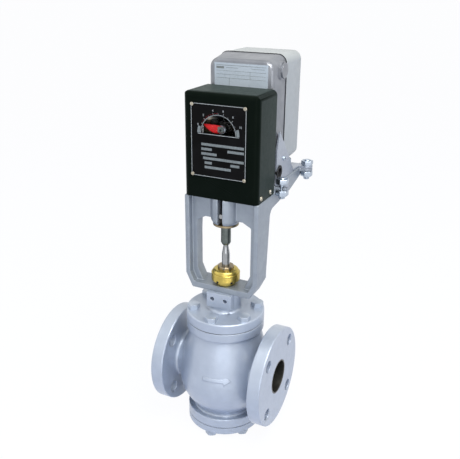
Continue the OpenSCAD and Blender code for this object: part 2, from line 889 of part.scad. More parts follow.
module bonnet() at_valve() color(silver_paint) difference() {
    neck_r = bonnet_neck_d / 2;
    union() {
        rotate_extrude() {
            disc_outline(upper_flange_r, bonnet_z, bonnet_top, 0, 2 * cover_edge);
            translate([0, bonnet_z - register_h]) square([opening_r - register_fit, register_h + bonnet_t]);
            translate([0, bonnet_z]) square([neck_r, yoke_z - bonnet_z]);
            translate([0, bonnet_z]) square([spigot_r, box_top - bonnet_z]);
            corner_round([neck_r, yoke_z], [neck_r, bonnet_top], [far, bonnet_top], bonnet_round);
        }
        translate([-pad_w / 2, -pad_reach, yoke_z - pad_h]) cube([pad_w, pad_reach, pad_h]);
    }
    translate([0, 0, upper_bush_z - cut]) cylinder(h = upper_bush_len + cut, d = guide_bush_d);
    translate([0, 0, upper_bush_z]) cylinder(h = packing_floor - upper_bush_z + cut, r = stem_r + bolt_fit);
    translate([0, 0, packing_floor]) cylinder(h = box_top - packing_floor + cut, d = packing_d);
    for (side = [-1, 1])
        translate([side * pad_hole_gap / 2, -pad_reach - cut, yoke_z - pad_hole_drop])
            along_y() cylinder(h = pad_hole_depth + cut, d = pad_hole_d);
    cover_bolt_places(upper_pitch_r) translate([0, 0, bonnet_z - cut])
        cylinder(h = bonnet_t + 2 * cut, d = cover_bolt_d + 2 * bolt_fit);
}

// Round wire wound between two heights, its ends cut square
module wire_spring(coil_r, wire_r, z0, z1, turns) {
    per_turn = 14;
    sides = 6;
    steps = turns * per_turn;
    rise = (z1 - z0 - 2 * wire_r) / steps;
    points = [
        for (i = [0 : steps], k = [0 : sides - 1])
            let (a = i * 360 / per_turn, b = k * 360 / sides, r = coil_r + wire_r * cos(b))
                [r * cos(a), r * sin(a), z0 + wire_r + i * rise + wire_r * sin(b)]
    ];
    walls = [
        for (i = [0 : steps - 1], k = [0 : sides - 1])
            let (n = (k + 1) % sides, a = i * sides, b = a + sides)
                each [[a + k, a + n, b + k], [a + n, b + n, b + k]]
    ];
    ends = [[for (k = [0 : sides - 1]) sides - 1 - k], [for (k = [0 : sides - 1]) steps * sides + k]];
    polyhedron(points, concat(walls, ends));
}

module packing_spring() at_valve() color(steel)
    wire_spring((stem_r + packing_d / 2) / 2, spring_wire_r, packing_floor, packing_z - packing_washer_t,
                spring_turns);

// Points up one edge and down the other of a ring with a roof-shaped top and bottom
function chevron(z_low, z_high, foot, roof) =
    let (r_in = stem_r + packing_clear, r_out = packing_d / 2 - packing_clear, middle = (r_in + r_out) / 2)
        [[r_in, z_low], [middle, z_low + foot], [r_out, z_low], [r_out, z_high], [middle, z_high + roof],
         [r_in, z_high]];

module packing_washer() at_valve() color(steel)
    rotate_extrude() polygon(chevron(packing_z - packing_washer_t, packing_z, 0, chevron_h));

module packing_rings() at_valve() color(packing_grey)
    for (i = [0 : packing_count - 1])
        rotate_extrude() polygon(chevron(packing_z + i * packing_ring_h, packing_z + (i + 1) * packing_ring_h,
                                         chevron_h, chevron_h));

module packing_follower() at_valve() color(bronze)
    rotate_extrude() polygon(chevron(packing_top, land_z, chevron_h, 0));

module clamp_nut() at_valve() color(brass) translate([0, 0, yoke_floor_z]) rotate_extrude() {
    r_in = spigot_r + thread_fit;
    r_out = clamp_nut_d / 2;
    polygon([
        [r_in, 0], [r_out - clamp_edge, 0], [r_out, clamp_edge], [r_out, clamp_nut_h], [r_in, clamp_nut_h]
    ]);
}

module packing_nut() at_valve() color(brass) difference() {
    packing_nut_blank();
    for (i = [0 : tommy_holes - 1])
        rotate(i * 360 / tommy_holes) translate([packing_nut_d / 2 - tommy_depth, 0, nut_z + tommy_rise])
            along_x() cylinder(h = tommy_depth + cut, d = tommy_d);
}

module packing_nut_blank() rotate_extrude() {
    edge = nut_edge;
    r = packing_nut_d / 2;
    shoulder = nut_z + packing_nut_h;
    r_in = spigot_r + thread_fit;
    hole_r = wiper_spigot_r + thread_fit;
    dome_r = wiper_d / 2 + edge;
    polygon([
        [r_in, nut_z], [r - 2 * edge, nut_z], [r, nut_z + 2 * edge], [r, shoulder - edge],
        [r - edge, shoulder], [r - 2 * edge, shoulder + dome_shares[0] * packing_dome_h],
        [dome_r + 3 * edge, shoulder + dome_shares[1] * packing_dome_h], [dome_r, nut_top],
        [hole_r, nut_top], [hole_r, land_z], [r_in, land_z]
    ]);
}

module wiper_ring() at_valve() color(bronze) rotate_extrude() {
    edge = wiper_edge;
    r_in = stem_r + run_fit;
    r = wiper_d / 2;
    polygon([
        [r_in, nut_top - wiper_spigot_h], [wiper_spigot_r, nut_top - wiper_spigot_h],
        [wiper_spigot_r, nut_top],
        [r, nut_top], [r, nut_top + wiper_h - edge], [r - edge, nut_top + wiper_h], [r_in, nut_top + wiper_h]
    ]);
}

module yoke_front_outline() {
    polygon([
        [-floor_half, yoke_z], [floor_half, yoke_z], [yoke_half, yoke_z + arm_chamfer_h], [yoke_half, deck_z],
        [-yoke_half, deck_z], [-yoke_half, yoke_z + arm_chamfer_h]
    ]);
}

// Space between the arm plates, above the floor
module yoke_inner_outline() {
    bend_z = yoke_z + arm_chamfer_h + arm_t * tan(atan(arm_chamfer_w / arm_chamfer_h) / 2);
    foot = arm_x - (bend_z - yoke_floor_z) * arm_chamfer_w / arm_chamfer_h;
    polygon([
        [-foot, yoke_floor_z], [foot, yoke_floor_z], [arm_x, bend_z], [arm_x, deck_z + cut],
        [-arm_x, deck_z + cut], [-arm_x, bend_z]
    ]);
}

module yoke_window_outline() {
    polygon([
        [-window_floor_half, yoke_floor_z], [window_floor_half, yoke_floor_z],
        [rib_x, yoke_floor_z + window_chamfer_h], [rib_x, window_top - haunch_drop], [haunch_x, window_top],
        [-haunch_x, window_top], [-rib_x, window_top - haunch_drop], [-rib_x, yoke_floor_z + window_chamfer_h]
    ]);
}

// Side of the yoke with the shelf that carries the motor
module yoke_side_outline() {
    arm = [yoke_rear, yoke_z + arm_bend_h];
    bend = [yoke_rear + arm_lean, deck_z - shelf_start_drop];
    middle = [shelf_mid_y, deck_z - shelf_mid_drop];
    end_z = deck_z - shelf_end_drop;
    polygon([
        [-yoke_front, yoke_z], [yoke_rear, yoke_z], arm, bend, middle,
        [shelf_reach - shelf_tail, end_z - shelf_tail_rise], [shelf_reach, end_z], [shelf_reach, deck_z],
        [-yoke_front, deck_z]
    ]);
    corner_round(arm, bend, middle, shelf_round);
}

module ear_outline(y) {
    translate([arm_x, y - ear_r]) square([stud_x - arm_x, 2 * ear_r]);
    translate([stud_x, y]) circle(ear_r);
}

module gusset_screw_places(out) {
    for (side = [-1, 1])
        translate([side * (gusset_x + out), gusset_screw_y, gusset_screw_z])
            rotate([0, side * 90, 0]) children();
}

module stud_places() {
    for (x = [-stud_x, stud_x], y = [stud_front_y, stud_rear_y]) translate([x, y, 0]) children();
}

module cover_screw_places() {
    for (y = [cover_screw_front_in - cover_front, cover_rear - cover_screw_rear_in])
        translate([0, y, ledge_z + cover_screw_rise]) children();
}

module yoke() at_valve() color(yoke_paint) difference() {
    depth = yoke_front + shelf_reach;
    cone_h = 2 * boss_ring_h;
    union() {
        intersection() {
            front_plate(-yoke_front, depth) difference() {
                yoke_front_outline();
                yoke_inner_outline();
            }
            side_plate(-yoke_half, yoke_w) yoke_side_outline();
        }
        front_plate(-rib_t / 2, rib_t) difference() {
            yoke_front_outline();
            yoke_window_outline();
        }
        translate([-arm_x - cut, -yoke_front, deck_z - deck_t]) cube([2 * arm_x + 2 * cut, depth, deck_t]);
        both_sides() translate([0, 0, deck_z - deck_t]) linear_extrude(deck_t) {
            ear_outline(stud_front_y);
            ear_outline(stud_rear_y);
        }
        translate([0, 0, boss_z + cone_h]) cylinder(h = boss_top - boss_z - cone_h, d = boss_d);
        translate([0, 0, boss_z]) cylinder(h = cone_h, r1 = boss_d / 2 - boss_ring_h, r2 = boss_d / 2);
    }
    translate([0, 0, yoke_z - cut]) cylinder(h = yoke_floor_t + 2 * cut, r = spigot_r + thread_fit);
    translate([0, 0, boss_z - cut]) cylinder(h = boss_top - boss_z + 2 * cut, r = rod_r + bush_wall);
    translate([-slot_w / 2, -boss_d, boss_z - cut]) cube([slot_w, boss_d, boss_top - boss_z + 2 * cut]);
    translate([0, 0, ledge_z]) difference() {
        translate([-yoke_w, -yoke_w, 0]) cube([2 * yoke_w, yoke_w + cover_rear + step_gap, boss_drop]);
        translate([0, 0, -cut]) linear_extrude(cover_h)
            translate([0, cover_rear + step_gap + cut]) mirror([0, 1])
                arch(2 * step_half, cover_rear + step_gap + cut + cover_front - cover_t - cover_fit,
                     cover_round - cover_t);
    }
    stud_places() translate([0, 0, deck_z - deck_t - cut])
        cylinder(h = deck_t + 2 * cut, d = stud_d + 2 * bolt_fit);
    cover_screw_places() translate([-yoke_half, 0, 0]) along_x()
        cylinder(h = yoke_w, d = screw_d + 2 * thread_fit);
    for (x = [-1, 1]) translate([x * bracket_screw_x, bracket_screw_y, deck_z - deck_t - cut])
        cylinder(h = deck_t + 2 * cut, d = screw_d + 2 * thread_fit);
}

module boss_ring() at_valve() color(bronze) translate([0, 0, boss_z - boss_ring_h])
    tube(boss_d / 2 - boss_ring_h, rod_r + bush_wall, boss_ring_h);

module rod_bushes() at_valve() color(bronze)
    for (z = [boss_z - boss_ring_h, boss_top - bush_len])
        translate([0, 0, z]) tube(rod_r + bush_wall - seat_fit, rod_r + run_fit, bush_len);

module screw_head(h) {
    cylinder(h = h, d1 = screw_head_d, d2 = screw_head_d - screw_head_draft);
}

// Shell with round front and top edges, open at the bottom and the back
module cover_form(w, front, rear, h, r) {
    intersection() {
        front_plate(-front, front + rear) arch(w, h, r);
        linear_extrude(h) translate([0, rear]) mirror([0, 1]) arch(w, front + rear, r);
        side_plate(-w / 2, w) {
            translate([r - front, 0]) square([front + rear - r, h]);
            translate([-front, 0]) square([front + rear, h - r]);
            translate([r - front, h - r]) circle(r);
        }
    }
}

module half_round(r) {
    intersection() {
        circle(r);
        translate([-r, 0]) square([2 * r, r]);
    }
}

module linkage_cover() at_valve() color(black_paint) difference() {
    translate([0, 0, ledge_z]) cover_form(cover_w, cover_front, cover_rear, cover_h, cover_round);
    translate([0, 0, ledge_z - cut])
        cover_form(cover_w - 2 * cover_t, cover_front - cover_t, cover_rear + cut, cover_h - cover_t + cut,
                   cover_round - cover_t);
    front_plate(-cover_front - cut, cover_t + 2 * cut)
        translate([spindle_x, dial_window_z]) half_round(dial_window_r);
    cover_screw_places() translate([-cover_w, 0, 0]) along_x()
        cylinder(h = 2 * cover_w, d = screw_d + 2 * bolt_fit);
    dial_screw_places() translate([0, -cut, 0]) along_y()
        cylinder(h = cover_t + 2 * cut, d = dial_screw_d + 2 * thread_fit);
}

module cover_screws() at_valve() color(brass)
    cover_screw_places() both_sides() translate([cover_w / 2, 0, 0]) along_x() {
        screw_head(screw_head_h);
        translate([0, 0, -screw_hold]) cylinder(h = screw_hold, d = screw_d);
    }

module dial_screw_places() {
    for (x = [-1, 1], z = [dial_screw_in, dial_h - dial_screw_in])
        translate([spindle_x + x * (dial_w / 2 - dial_screw_in), -cover_front, dial_z + z]) children();
}

module dial_plate() at_valve() color(black_paint) difference() {
    front_plate(-cover_front - dial_t, dial_t) difference() {
        translate([spindle_x - dial_w / 2, dial_z]) square([dial_w, dial_h]);
        translate([spindle_x, dial_window_z]) half_round(dial_window_r);
    }
    dial_screw_places() translate([0, -dial_t - cut, 0]) along_y()
        cylinder(h = dial_t + 2 * cut, d = dial_screw_d + 2 * thread_fit);
}

module dial_screws() at_valve() color(brass)
    dial_screw_places() translate([0, -dial_t, 0]) along_y() {
        translate([0, 0, -dial_screw_head_h]) cylinder(h = dial_screw_head_h, d = dial_screw_head_d);
        cylinder(h = dial_t + cover_t + dry_gap, d = dial_screw_d);
    }

module dial_window() at_valve() color(clear)
    front_plate(cover_t - cover_front, pane_t) translate([spindle_x, dial_window_z - pane_lap]) {
        edge = dial_window_r + pane_lap;
        difference() {
            circle(edge);
            translate([-edge - cut, -edge - cut]) square([2 * edge + 2 * cut, edge + cut]);
        }
    }

// Upright plate that carries the cross shaft, on two feet beside the boss
module bracket_outline() {
    waist = bearing_r + bracket_waist;
    shoulder_z = deck_z + bracket_shoulder;
    difference() {
        union() {
            polygon([
                [-bracket_half, deck_z], [bracket_half, deck_z], [bracket_half, shoulder_z],
                [spindle_x + waist, spindle_z], [spindle_x - waist, spindle_z], [-bracket_half, shoulder_z]
            ]);
            translate([spindle_x, spindle_z]) circle(waist);
            translate([rack_back_x - rack_guide_w, spindle_z - rack_guide_h / 2])
                square([spindle_x - rack_back_x + rack_guide_w, rack_guide_h]);
        }
        polygon([
            [-bracket_arch, deck_z - cut], [bracket_arch, deck_z - cut],
            [bracket_arch, shoulder_z], [-bracket_arch, shoulder_z]
        ]);
    }
}

module bearing_bracket() at_valve() color(zinc) difference() {
    union() {
        front_plate(bracket_y, bracket_t) bracket_outline();
        both_sides() translate([bracket_arch, bracket_y, deck_z])
            cube([bracket_half - bracket_arch, bracket_foot_depth, bracket_foot_h]);
    }
    translate([spindle_x, bracket_y - cut, spindle_z]) along_y()
        cylinder(h = bracket_t + 2 * cut, r = bearing_r);
    both_sides() translate([bracket_screw_x, bracket_screw_y, deck_z - cut])
        cylinder(h = bracket_foot_h + 2 * cut, d = screw_d + 2 * bolt_fit);
}

module bracket_screws() at_valve() color(zinc)
    both_sides() translate([bracket_screw_x, bracket_screw_y, deck_z + bracket_foot_h]) {
        screw_head(screw_head_h);
        translate([0, 0, -bracket_foot_h - deck_t]) cylinder(h = bracket_foot_h + deck_t, d = screw_d);
    }

module shaft_bearing() at_valve() color(bronze)
    translate([spindle_x, bracket_y - bearing_lip_t, spindle_z]) along_y() {
        tube(bearing_r + bearing_lip, shaft_r + run_fit, bearing_lip_t);
        tube(bearing_r - seat_fit, shaft_r + run_fit, bracket_t + bearing_lip_t);
    }

module rack_guide() at_valve() color(bronze)
    translate([rack_back_x - rack_guide_w, -rack_t / 2, spindle_z - rack_guide_h / 2])
        cube([rack_guide_w - body_gap, bracket_y + rack_t / 2, rack_guide_h]);

// Involute gear whose first tooth gap points along -X
function involute_turn(a) = tan(a) * 180 / PI - a;
function flank_turn(r, base_r, half) =
    half + involute_turn(pressure_angle) - (r > base_r ? involute_turn(acos(base_r / r)) : 0);

module pinion_outline() {
    steps = 4;
    base_r = pitch_r * cos(pressure_angle);
    half = 90 / pinion_teeth - tooth_thin / 2 / pitch_r * 180 / PI;
    radii = concat([pinion_root_r], [for (k = [0 : steps]) base_r + (pinion_tip_r - base_r) * k / steps]);
    last = len(radii) - 1;
    polygon([
        for (i = [0 : pinion_teeth - 1])
            let (a = 180 + (i + 0.5) * 360 / pinion_teeth)
                each concat(
                    [for (r = radii) let (b = a - flank_turn(r, base_r, half)) r * [cos(b), sin(b)]],
                    [for (k = [last : -1 : 0])
                        let (r = radii[k], b = a + flank_turn(r, base_r, half)) r * [cos(b), sin(b)]]
                )
    ]);
}

// Teeth of the rack in X and Z, one of them level with the cross shaft
module rack_outline() {
    tip_x = rack_x + rack_addendum_share * gear_module;
    half = rack_pitch / 4 - tooth_thin / 2;
    tip = half - rack_addendum_share * gear_module * tan(pressure_angle);
    root = half + (rack_x - rack_root_x) * tan(pressure_angle);
    translate([rack_back_x, rack_z]) square([rack_back, rack_top - rack_z]);
    for (i = [-rack_low_teeth : rack_high_teeth])
        let (z = spindle_z + i * rack_pitch)
            polygon([
                [rack_root_x - cut, z - root], [rack_root_x, z - root], [tip_x, z - tip], [tip_x, z + tip],
                [rack_root_x, z + root], [rack_root_x - cut, z + root]
            ]);
}

module rack() at_valve() color(steel) difference() {
    front_plate(-rack_t / 2, rack_t) rack_outline();
    translate([rack_screw_x, 0, rack_z - cut])
        cylinder(h = rack_screw_hold + dry_gap + cut, d = screw_d + 2 * seat_fit);
}

module rack_screw() at_valve() color(dark_steel)
    translate([rack_screw_x, 0, crosshead_z]) {
        cylinder(h = crosshead_h + rack_screw_hold, d = screw_d);
        translate([0, 0, -screw_head_h]) cylinder(h = screw_head_h, d = screw_head_d);
    }

module crosshead() at_valve() color(zinc) difference() {
    translate([crosshead_left, -crosshead_d / 2, crosshead_z])
        cube([crosshead_right - crosshead_left, crosshead_d, crosshead_h]);
    translate([0, 0, crosshead_z - cut]) cylinder(h = crosshead_h + 2 * cut, r = rod_thread_r + thread_fit);
    translate([rack_screw_x, 0, crosshead_z - cut])
        cylinder(h = crosshead_h + 2 * cut, d = screw_d + 2 * bolt_fit);
}

module crosshead_nut() at_valve() color(zinc) translate([0, 0, crosshead_z + crosshead_h]) difference() {
    hexagon(crosshead_nut_af, crosshead_nut_h);
    translate([0, 0, -cut]) cylinder(h = crosshead_nut_h + 2 * cut, r = rod_thread_r + thread_fit);
}

module lifter_rod() at_valve() color(steel) difference() {
    tip_z = crosshead_z + crosshead_h + crosshead_nut_h + dry_gap;
    rotate_extrude() polygon([
        [0, rod_z], [rod_r - rod_chamfer, rod_z], [rod_r, rod_z + 2 * rod_chamfer], [rod_r, crosshead_z],
        [rod_thread_r, crosshead_z], [rod_thread_r, tip_z], [0, tip_z]
    ]);
    translate([0, 0, rod_z - cut]) cylinder(h = stem_tail_len + cut, r = stem_tail_r + thread_fit);
    translate([0, -rod_r - cut, guide_pin_z]) along_y()
        cylinder(h = rod_r + cut + guide_pin_root, d = guide_pin_d / 2 + 2 * seat_fit);
}

module guide_pin() at_valve() color(bronze) translate([0, -guide_pin_reach, guide_pin_z]) along_y() {
    cylinder(h = guide_pin_reach - rod_r - dry_gap, d = guide_pin_d);
    cylinder(h = guide_pin_reach, d = guide_pin_d / 2);
}

module valve_stem() at_valve() color(steel) difference() {
    rotate_extrude() polygon([
        [0, stem_bottom], [stem_r, stem_bottom], [stem_r, stem_taper_z], [stem_tail_r, stem_tail_z],
        [stem_tail_r, rod_z + stem_tail_len - stem_tail_gap], [0, rod_z + stem_tail_len - stem_tail_gap]
    ]);
    plug_pin_place() cylinder(h = 2 * plug_hub_d, d = plug_pin_d + 2 * seat_fit, center = true);
}

module plug_pin_place() {
    translate([0, 0, plug_top - plug_hub_h / 2 + dry_gap]) along_x() children();
}

module plug_pin() at_valve() color(steel) plug_pin_place()
    cylinder(h = plug_hub_d, d = plug_pin_d, center = true);

module valve_plug() at_valve() color(steel) difference() {
    skirt_r = seat_d / 2 - plug_clear;
    r_in = stem_r + seat_fit;
    steps = 8;
    curve_z = plug_z - seat_bevel - plug_skirt;
    curve_h = plug_nose_h - seat_bevel - plug_skirt;
    disc_r = seat_flange_d / 2 - plug_edge;
    rotate_extrude() polygon(concat(
        [
            [r_in, plug_top], [plug_hub_d / 2, plug_top], [plug_hub_d / 2, plug_z + plug_t + plug_root],
            [plug_hub_d / 2 + plug_root, plug_z + plug_t], [disc_r, plug_z + plug_t],
            [disc_r, plug_z], [skirt_r + seat_bevel, plug_z], [skirt_r, plug_z - seat_bevel]
        ],
        [for (k = [0 : steps]) let (t = k / steps)
            [skirt_r * (1 - (1 - plug_nose_share) * t * t), curve_z - curve_h * t]],
        [[r_in, curve_z - curve_h]]
    ));
    plug_pin_place() cylinder(h = 2 * plug_hub_d, d = plug_pin_d + 2 * seat_fit, center = true);
}

module output_shaft() at_valve() color(steel)
    translate([spindle_x, shaft_front_y, spindle_z]) along_y()
        cylinder(h = shaft_end_y - shaft_front_y, d = shaft_d);

module pinion() at_valve() color(steel) difference() {
    front_plate(-pinion_t / 2, pinion_t) translate([spindle_x, spindle_z]) pinion_outline();
    translate([spindle_x, -pinion_t, spindle_z]) along_y() cylinder(h = 2 * pinion_t, r = shaft_r + seat_fit);
}

module pointer_hub() at_valve() color(dark_steel)
    translate([spindle_x, -pointer_front, spindle_z]) along_y()
        tube(shaft_r + hub_wall, shaft_r + seat_fit, hub_t);

module pointer() at_valve() color(red_paint) front_plate(-pointer_front - pointer_t, pointer_t)
    translate([spindle_x, spindle_z]) difference() {
        neck = [-pointer_r * pointer_neck_share, pointer_w * pointer_neck_w_share];
        tail = pointer_w * pointer_tail_share;
        tail_half = pointer_w * pointer_tail_w_share;
        rotate(-pointer_tilt) polygon([
            [-pointer_r, 0], neck, [-tail, pointer_w / 2], [tail, tail_half], [tail, -tail_half],
            [-tail, -pointer_w / 2], [neck[0], -neck[1]]
        ]);
        circle(shaft_r + seat_fit);
    }

// Two discs with a raised lobe that work the limit switches
module switch_cams() at_valve() color(pale_plastic)
    for (i = [0, 1]) translate([spindle_x, cam_y + i * (cam_t + cam_gap), spindle_z])
        along_y() linear_extrude(cam_t)
        difference() {
            union() {
                circle(cam_r);
                intersection() {
                    circle(cam_r + cam_lobe);
                    rotate(cam_lobe_start + i * cam_lobe_turn) translate([0, -cam_lobe_w / 2])
                        square([2 * cam_r, cam_lobe_w]);
                }
            }
            circle(shaft_r + seat_fit);
        }

// Slice of the motor with round corners, lying across the Y axis
module motor_slice(y, t, half_w, z_low, z_high, r) {
    for (x = [-half_w + r, half_w - r], z = [z_low + r, z_high - r])
        translate([x, y, z]) along_y() cylinder(h = t, r = r, $fn = 32);
}

// Body of the front housing, drawn in by the amount inset
module front_form(inset, y_front, y_back) {
    edge = front_edge;
    half = motor_w / 2 - inset;
    r = motor_corner_r - inset;
    hull() {
        motor_slice(y_front, slice_t, half - motor_taper - edge, motor_z + edge + inset,
                    motor_top - inset - 2 * motor_taper - edge, r - edge);
        motor_slice(y_front + edge, slice_t, half - motor_taper, motor_z + inset,
                    motor_top - inset - 2 * motor_taper, r);
        motor_slice(y_back - slice_t, slice_t, half, motor_z + inset, motor_top - inset, r);
    }
}

module rear_form(inset, y_front, y_back) {
    edge = rear_edge;
    half = motor_w / 2 - inset;
    r = motor_corner_r - inset;
    hull() {
        motor_slice(y_front, slice_t, half, motor_z + inset, motor_top - inset, r);
        motor_slice(y_back - edge, slice_t, half - motor_taper / 2, motor_z + inset + edge / 2,
                    motor_top - inset, r);
        motor_slice(y_back - slice_t, slice_t, half - edge, motor_z + inset + 2 * edge,
                    motor_top - inset - edge, r - edge / 2);
    }
}

module housing_screw_places() {
    for (x = [-1, 1], z = [motor_z + housing_screw_rise, motor_top - housing_screw_rise])
        translate([x * (motor_w / 2 - housing_screw_in), 0, z]) children();
}

module front_housing() at_valve() color(cast_silver) difference() {
    union() {
        front_form(0, motor_front_y, seam_y);
        translate([motor_w / 2 - 3 * housing_t, plug_y, plug_axis_z]) along_x()
            cylinder(h = 3 * housing_t + plug_boss_out, r = plug_boss_r);
    }
    difference() {
        front_form(housing_t, motor_front_y + housing_t, seam_y + cut);
        housing_screw_places() translate([0, motor_front_y, 0]) along_y()
            cylinder(h = gear_plate_y - motor_front_y, r = corner_post_r);
    }
    translate([spindle_x, motor_front_y - cut, spindle_z]) along_y()
        cylinder(h = housing_t + 2 * cut, r = shaft_r + bolt_fit);
    translate([motor_w / 2 - 4 * housing_t, plug_y, plug_axis_z]) along_x()
        cylinder(h = 5 * housing_t, r = plug_thread_r + thread_fit);
    housing_screw_places() translate([0, seam_y - housing_screw_hold - dry_gap, 0]) along_y()
        cylinder(h = housing_screw_hold + dry_gap + cut, d = screw_d + 2 * thread_fit);
    gusset_screw_places(0) cylinder(h = 4 * housing_t, d = screw_d + 2 * thread_fit, center = true);
}

module spacer_places() {
    for (x = [-spacer_x, spacer_x], y = [motor_front_y + spacer_front_in, motor_back_y - spacer_rear_in])
        translate([x, y, 0]) children();
}

module rear_cover() at_valve() color(pale_plastic) difference() {
    rear_form(0, seam_y, motor_back_y);
    rear_form(rear_t, seam_y - cut, motor_back_y - rear_t);
    housing_screw_places() translate([0, motor_back_y - 2 * rear_t, 0]) along_y()
        cylinder(h = 3 * rear_t, d = screw_d + 2 * bolt_fit);
}

module conduit_plug() at_valve() color(zinc)
    translate([motor_w / 2 - 2 * housing_t, plug_y, plug_axis_z]) along_x() {
        cylinder(h = 2 * housing_t + plug_boss_out, r = plug_thread_r);
        translate([0, 0, 2 * housing_t + plug_boss_out]) cylinder(h = plug_head_h, r = plug_head_r);
    }

module label_plate() at_valve() color(pale_plastic)
    front_plate(motor_front_y - label_t, label_t) translate([-label_w / 2, motor_top - label_drop])
        square([label_w, label_h]);

module gear_plate() at_valve() color(zinc) difference() {
    front_plate(gear_plate_y, gear_plate_t - gear_plate_gap)
        translate([0, motor_z + gear_plate_in])
            pillow(motor_w - 2 * gear_plate_in, motor_h - 2 * gear_plate_in, motor_corner_r - housing_t);
    housing_screw_places() translate([0, gear_plate_y - cut, 0]) along_y()
        cylinder(h = gear_plate_t + 2 * cut, d = screw_d + 2 * bolt_fit);
}

module gearbox() at_valve() color(zinc) difference() {
    translate([-gearbox_w / 2, gearbox_y, spindle_z - gearbox_drop]) cube([gearbox_w, gearbox_t, gearbox_h]);
    translate([spindle_x, gearbox_y - cut, spindle_z]) along_y()
        cylinder(h = gearbox_t - gearbox_floor + cut, r = shaft_r + run_fit);
}

module drive_motor() at_valve() color(steel)
    translate([0, inner_wall_y, spindle_z + can_rise]) along_y() cylinder(h = can_len, d = can_d);

module terminal_block() at_valve() color(rubber)
    translate([-terminal_w / 2, inner_wall_y, motor_z + terminal_rise]) difference() {
        pitch = (terminal_w - terminal_rib) / terminal_count;
        cube([terminal_w, terminal_depth, terminal_h]);
        for (i = [0 : terminal_count - 1])
            translate([terminal_rib + i * pitch, terminal_floor, terminal_h / 2])
                cube([pitch - terminal_rib, terminal_depth, terminal_h]);
    }

module limit_switches() at_valve() color(rubber)
    for (side = [-1, 1])
        translate([spindle_x + (side * switch_pitch - switch_w) / 2, cam_y,
                   spindle_z + cam_r + cam_lobe + dry_gap])
            cube([switch_w, gearbox_y - cam_y, switch_h]);

module housing_screws() at_valve() color(zinc)
    housing_screw_places() translate([0, motor_back_y, 0]) along_y() {
        screw_head(screw_head_h);
        translate([0, 0, -rear_depth - housing_screw_hold])
            cylinder(h = rear_depth + housing_screw_hold, d = screw_d);
    }

module plate_outline() {
    translate([-step_half, plate_front_y]) square([2 * step_half, plate_back_y - plate_front_y]);
    both_sides() difference() {
        union() {
            ear_outline(stud_front_y);
            ear_outline(stud_rear_y);
        }
        translate([0, plate_front_y - yoke_w]) square([yoke_w, yoke_w]);
    }
}

module gusset_outline() {
    top_y = gusset_front_y + gusset_slope;
    polygon([
        [gusset_front_y, deck_z], [gusset_front_y, plate_top + gusset_h * gusset_front_share],
        [top_y, plate_top + gusset_h], [top_y + gusset_back, plate_top + gusset_h * gusset_back_share],
        [top_y + gusset_back + gusset_foot, deck_z]
    ]);
}

module mounting_plate() at_valve() color(zinc) difference() {
    union() {
        translate([0, 0, deck_z]) linear_extrude(plate_t) plate_outline();
        both_sides() side_plate(gusset_x, plate_t) gusset_outline();
    }
    stud_places() translate([0, 0, deck_z - cut]) cylinder(h = plate_t + 2 * cut, d = stud_d + 2 * bolt_fit);
    translate([gusset_x - cut, grommet_y, grommet_z]) along_x()
        cylinder(h = plate_t + 2 * cut, d = grommet_d);
    gusset_screw_places(0) cylinder(h = 4 * plate_t, d = screw_d + 2 * bolt_fit, center = true);
    spacer_places() translate([0, 0, deck_z - cut])
        cylinder(h = plate_t + 2 * cut, d = screw_d + 2 * bolt_fit);
}

module mounting_studs() at_valve() color(zinc)
    stud_places() translate([0, 0, stud_bottom]) cylinder(h = stud_top - stud_bottom, d = stud_d);

module mounting_nuts() at_valve() color(zinc) stud_places() difference() {
    union() {
        translate([0, 0, top_nut_z]) rotate(30) hexagon(stud_nut_af, top_nut_h);
        translate([0, 0, low_nut_z]) rotate(30) hexagon(stud_nut_af, stud_nut_h);
    }
    translate([0, 0, stud_bottom]) cylinder(h = stud_top - stud_bottom, r = stud_d / 2 + thread_fit);
}

module mounting_washers() at_valve() color(zinc)
    stud_places() translate([0, 0, plate_top]) tube(stud_nut_af / 2, stud_d / 2 + bolt_fit, washer_t);

module motor_spacers() at_valve() color(zinc) spacer_places() translate([0, 0, plate_top]) difference() {
    hexagon(spacer_af, spacer_h);
    translate([0, 0, -cut]) cylinder(h = spacer_h + 2 * cut, d = screw_d + 2 * bolt_fit);
}

module gusset_screws() at_valve() color(zinc)
    gusset_screw_places(plate_t) {
        screw_head(screw_head_h);
        translate([0, 0, -plate_t - screw_hold]) cylinder(h = plate_t + screw_hold, d = screw_d);
    }

module cable_grommet() at_valve() color(rubber)
    translate([gusset_x, grommet_y, grommet_z]) along_x() {
        translate([0, 0, plate_t])
            tube(grommet_d / 2 + grommet_lip, grommet_d / 2 - grommet_wall, grommet_lip);
        tube(grommet_d / 2 - seat_fit, grommet_d / 2 - grommet_wall, plate_t);
    }

valve_body();
seat_ring();
bottom_cover();
bottom_gasket();
bottom_bolts();
lower_guide_bush();
bonnet();
bonnet_gasket();
bonnet_bolts();
upper_guide_bush();
packing_spring();
packing_washer();
packing_rings();
packing_follower();
clamp_nut();
packing_nut();
wiper_ring();
yoke();
boss_ring();
rod_bushes();
linkage_cover();
cover_screws();
dial_plate();
dial_screws();
dial_window();
bearing_bracket();
bracket_screws();
shaft_bearing();
rack_guide();
mounting_plate();
mounting_studs();
mounting_nuts();
mounting_washers();
motor_spacers();
gusset_screws();
cable_grommet();
front_housing();
rear_cover();
conduit_plug();
label_plate();
gear_plate();
gearbox();
drive_motor();
terminal_block();
limit_switches();
housing_screws();
valve_plug();
plug_pin();
valve_stem();
lifter_rod();
guide_pin();
crosshead();
crosshead_nut();
rack();
rack_screw();
output_shaft();
pinion();
pointer_hub();
pointer();
switch_cams();
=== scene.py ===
import json
import logging
import math
from dataclasses import dataclass
from enum import Enum
from typing import Iterable, Sequence

import bmesh
import bpy
from mathutils import Matrix, Vector

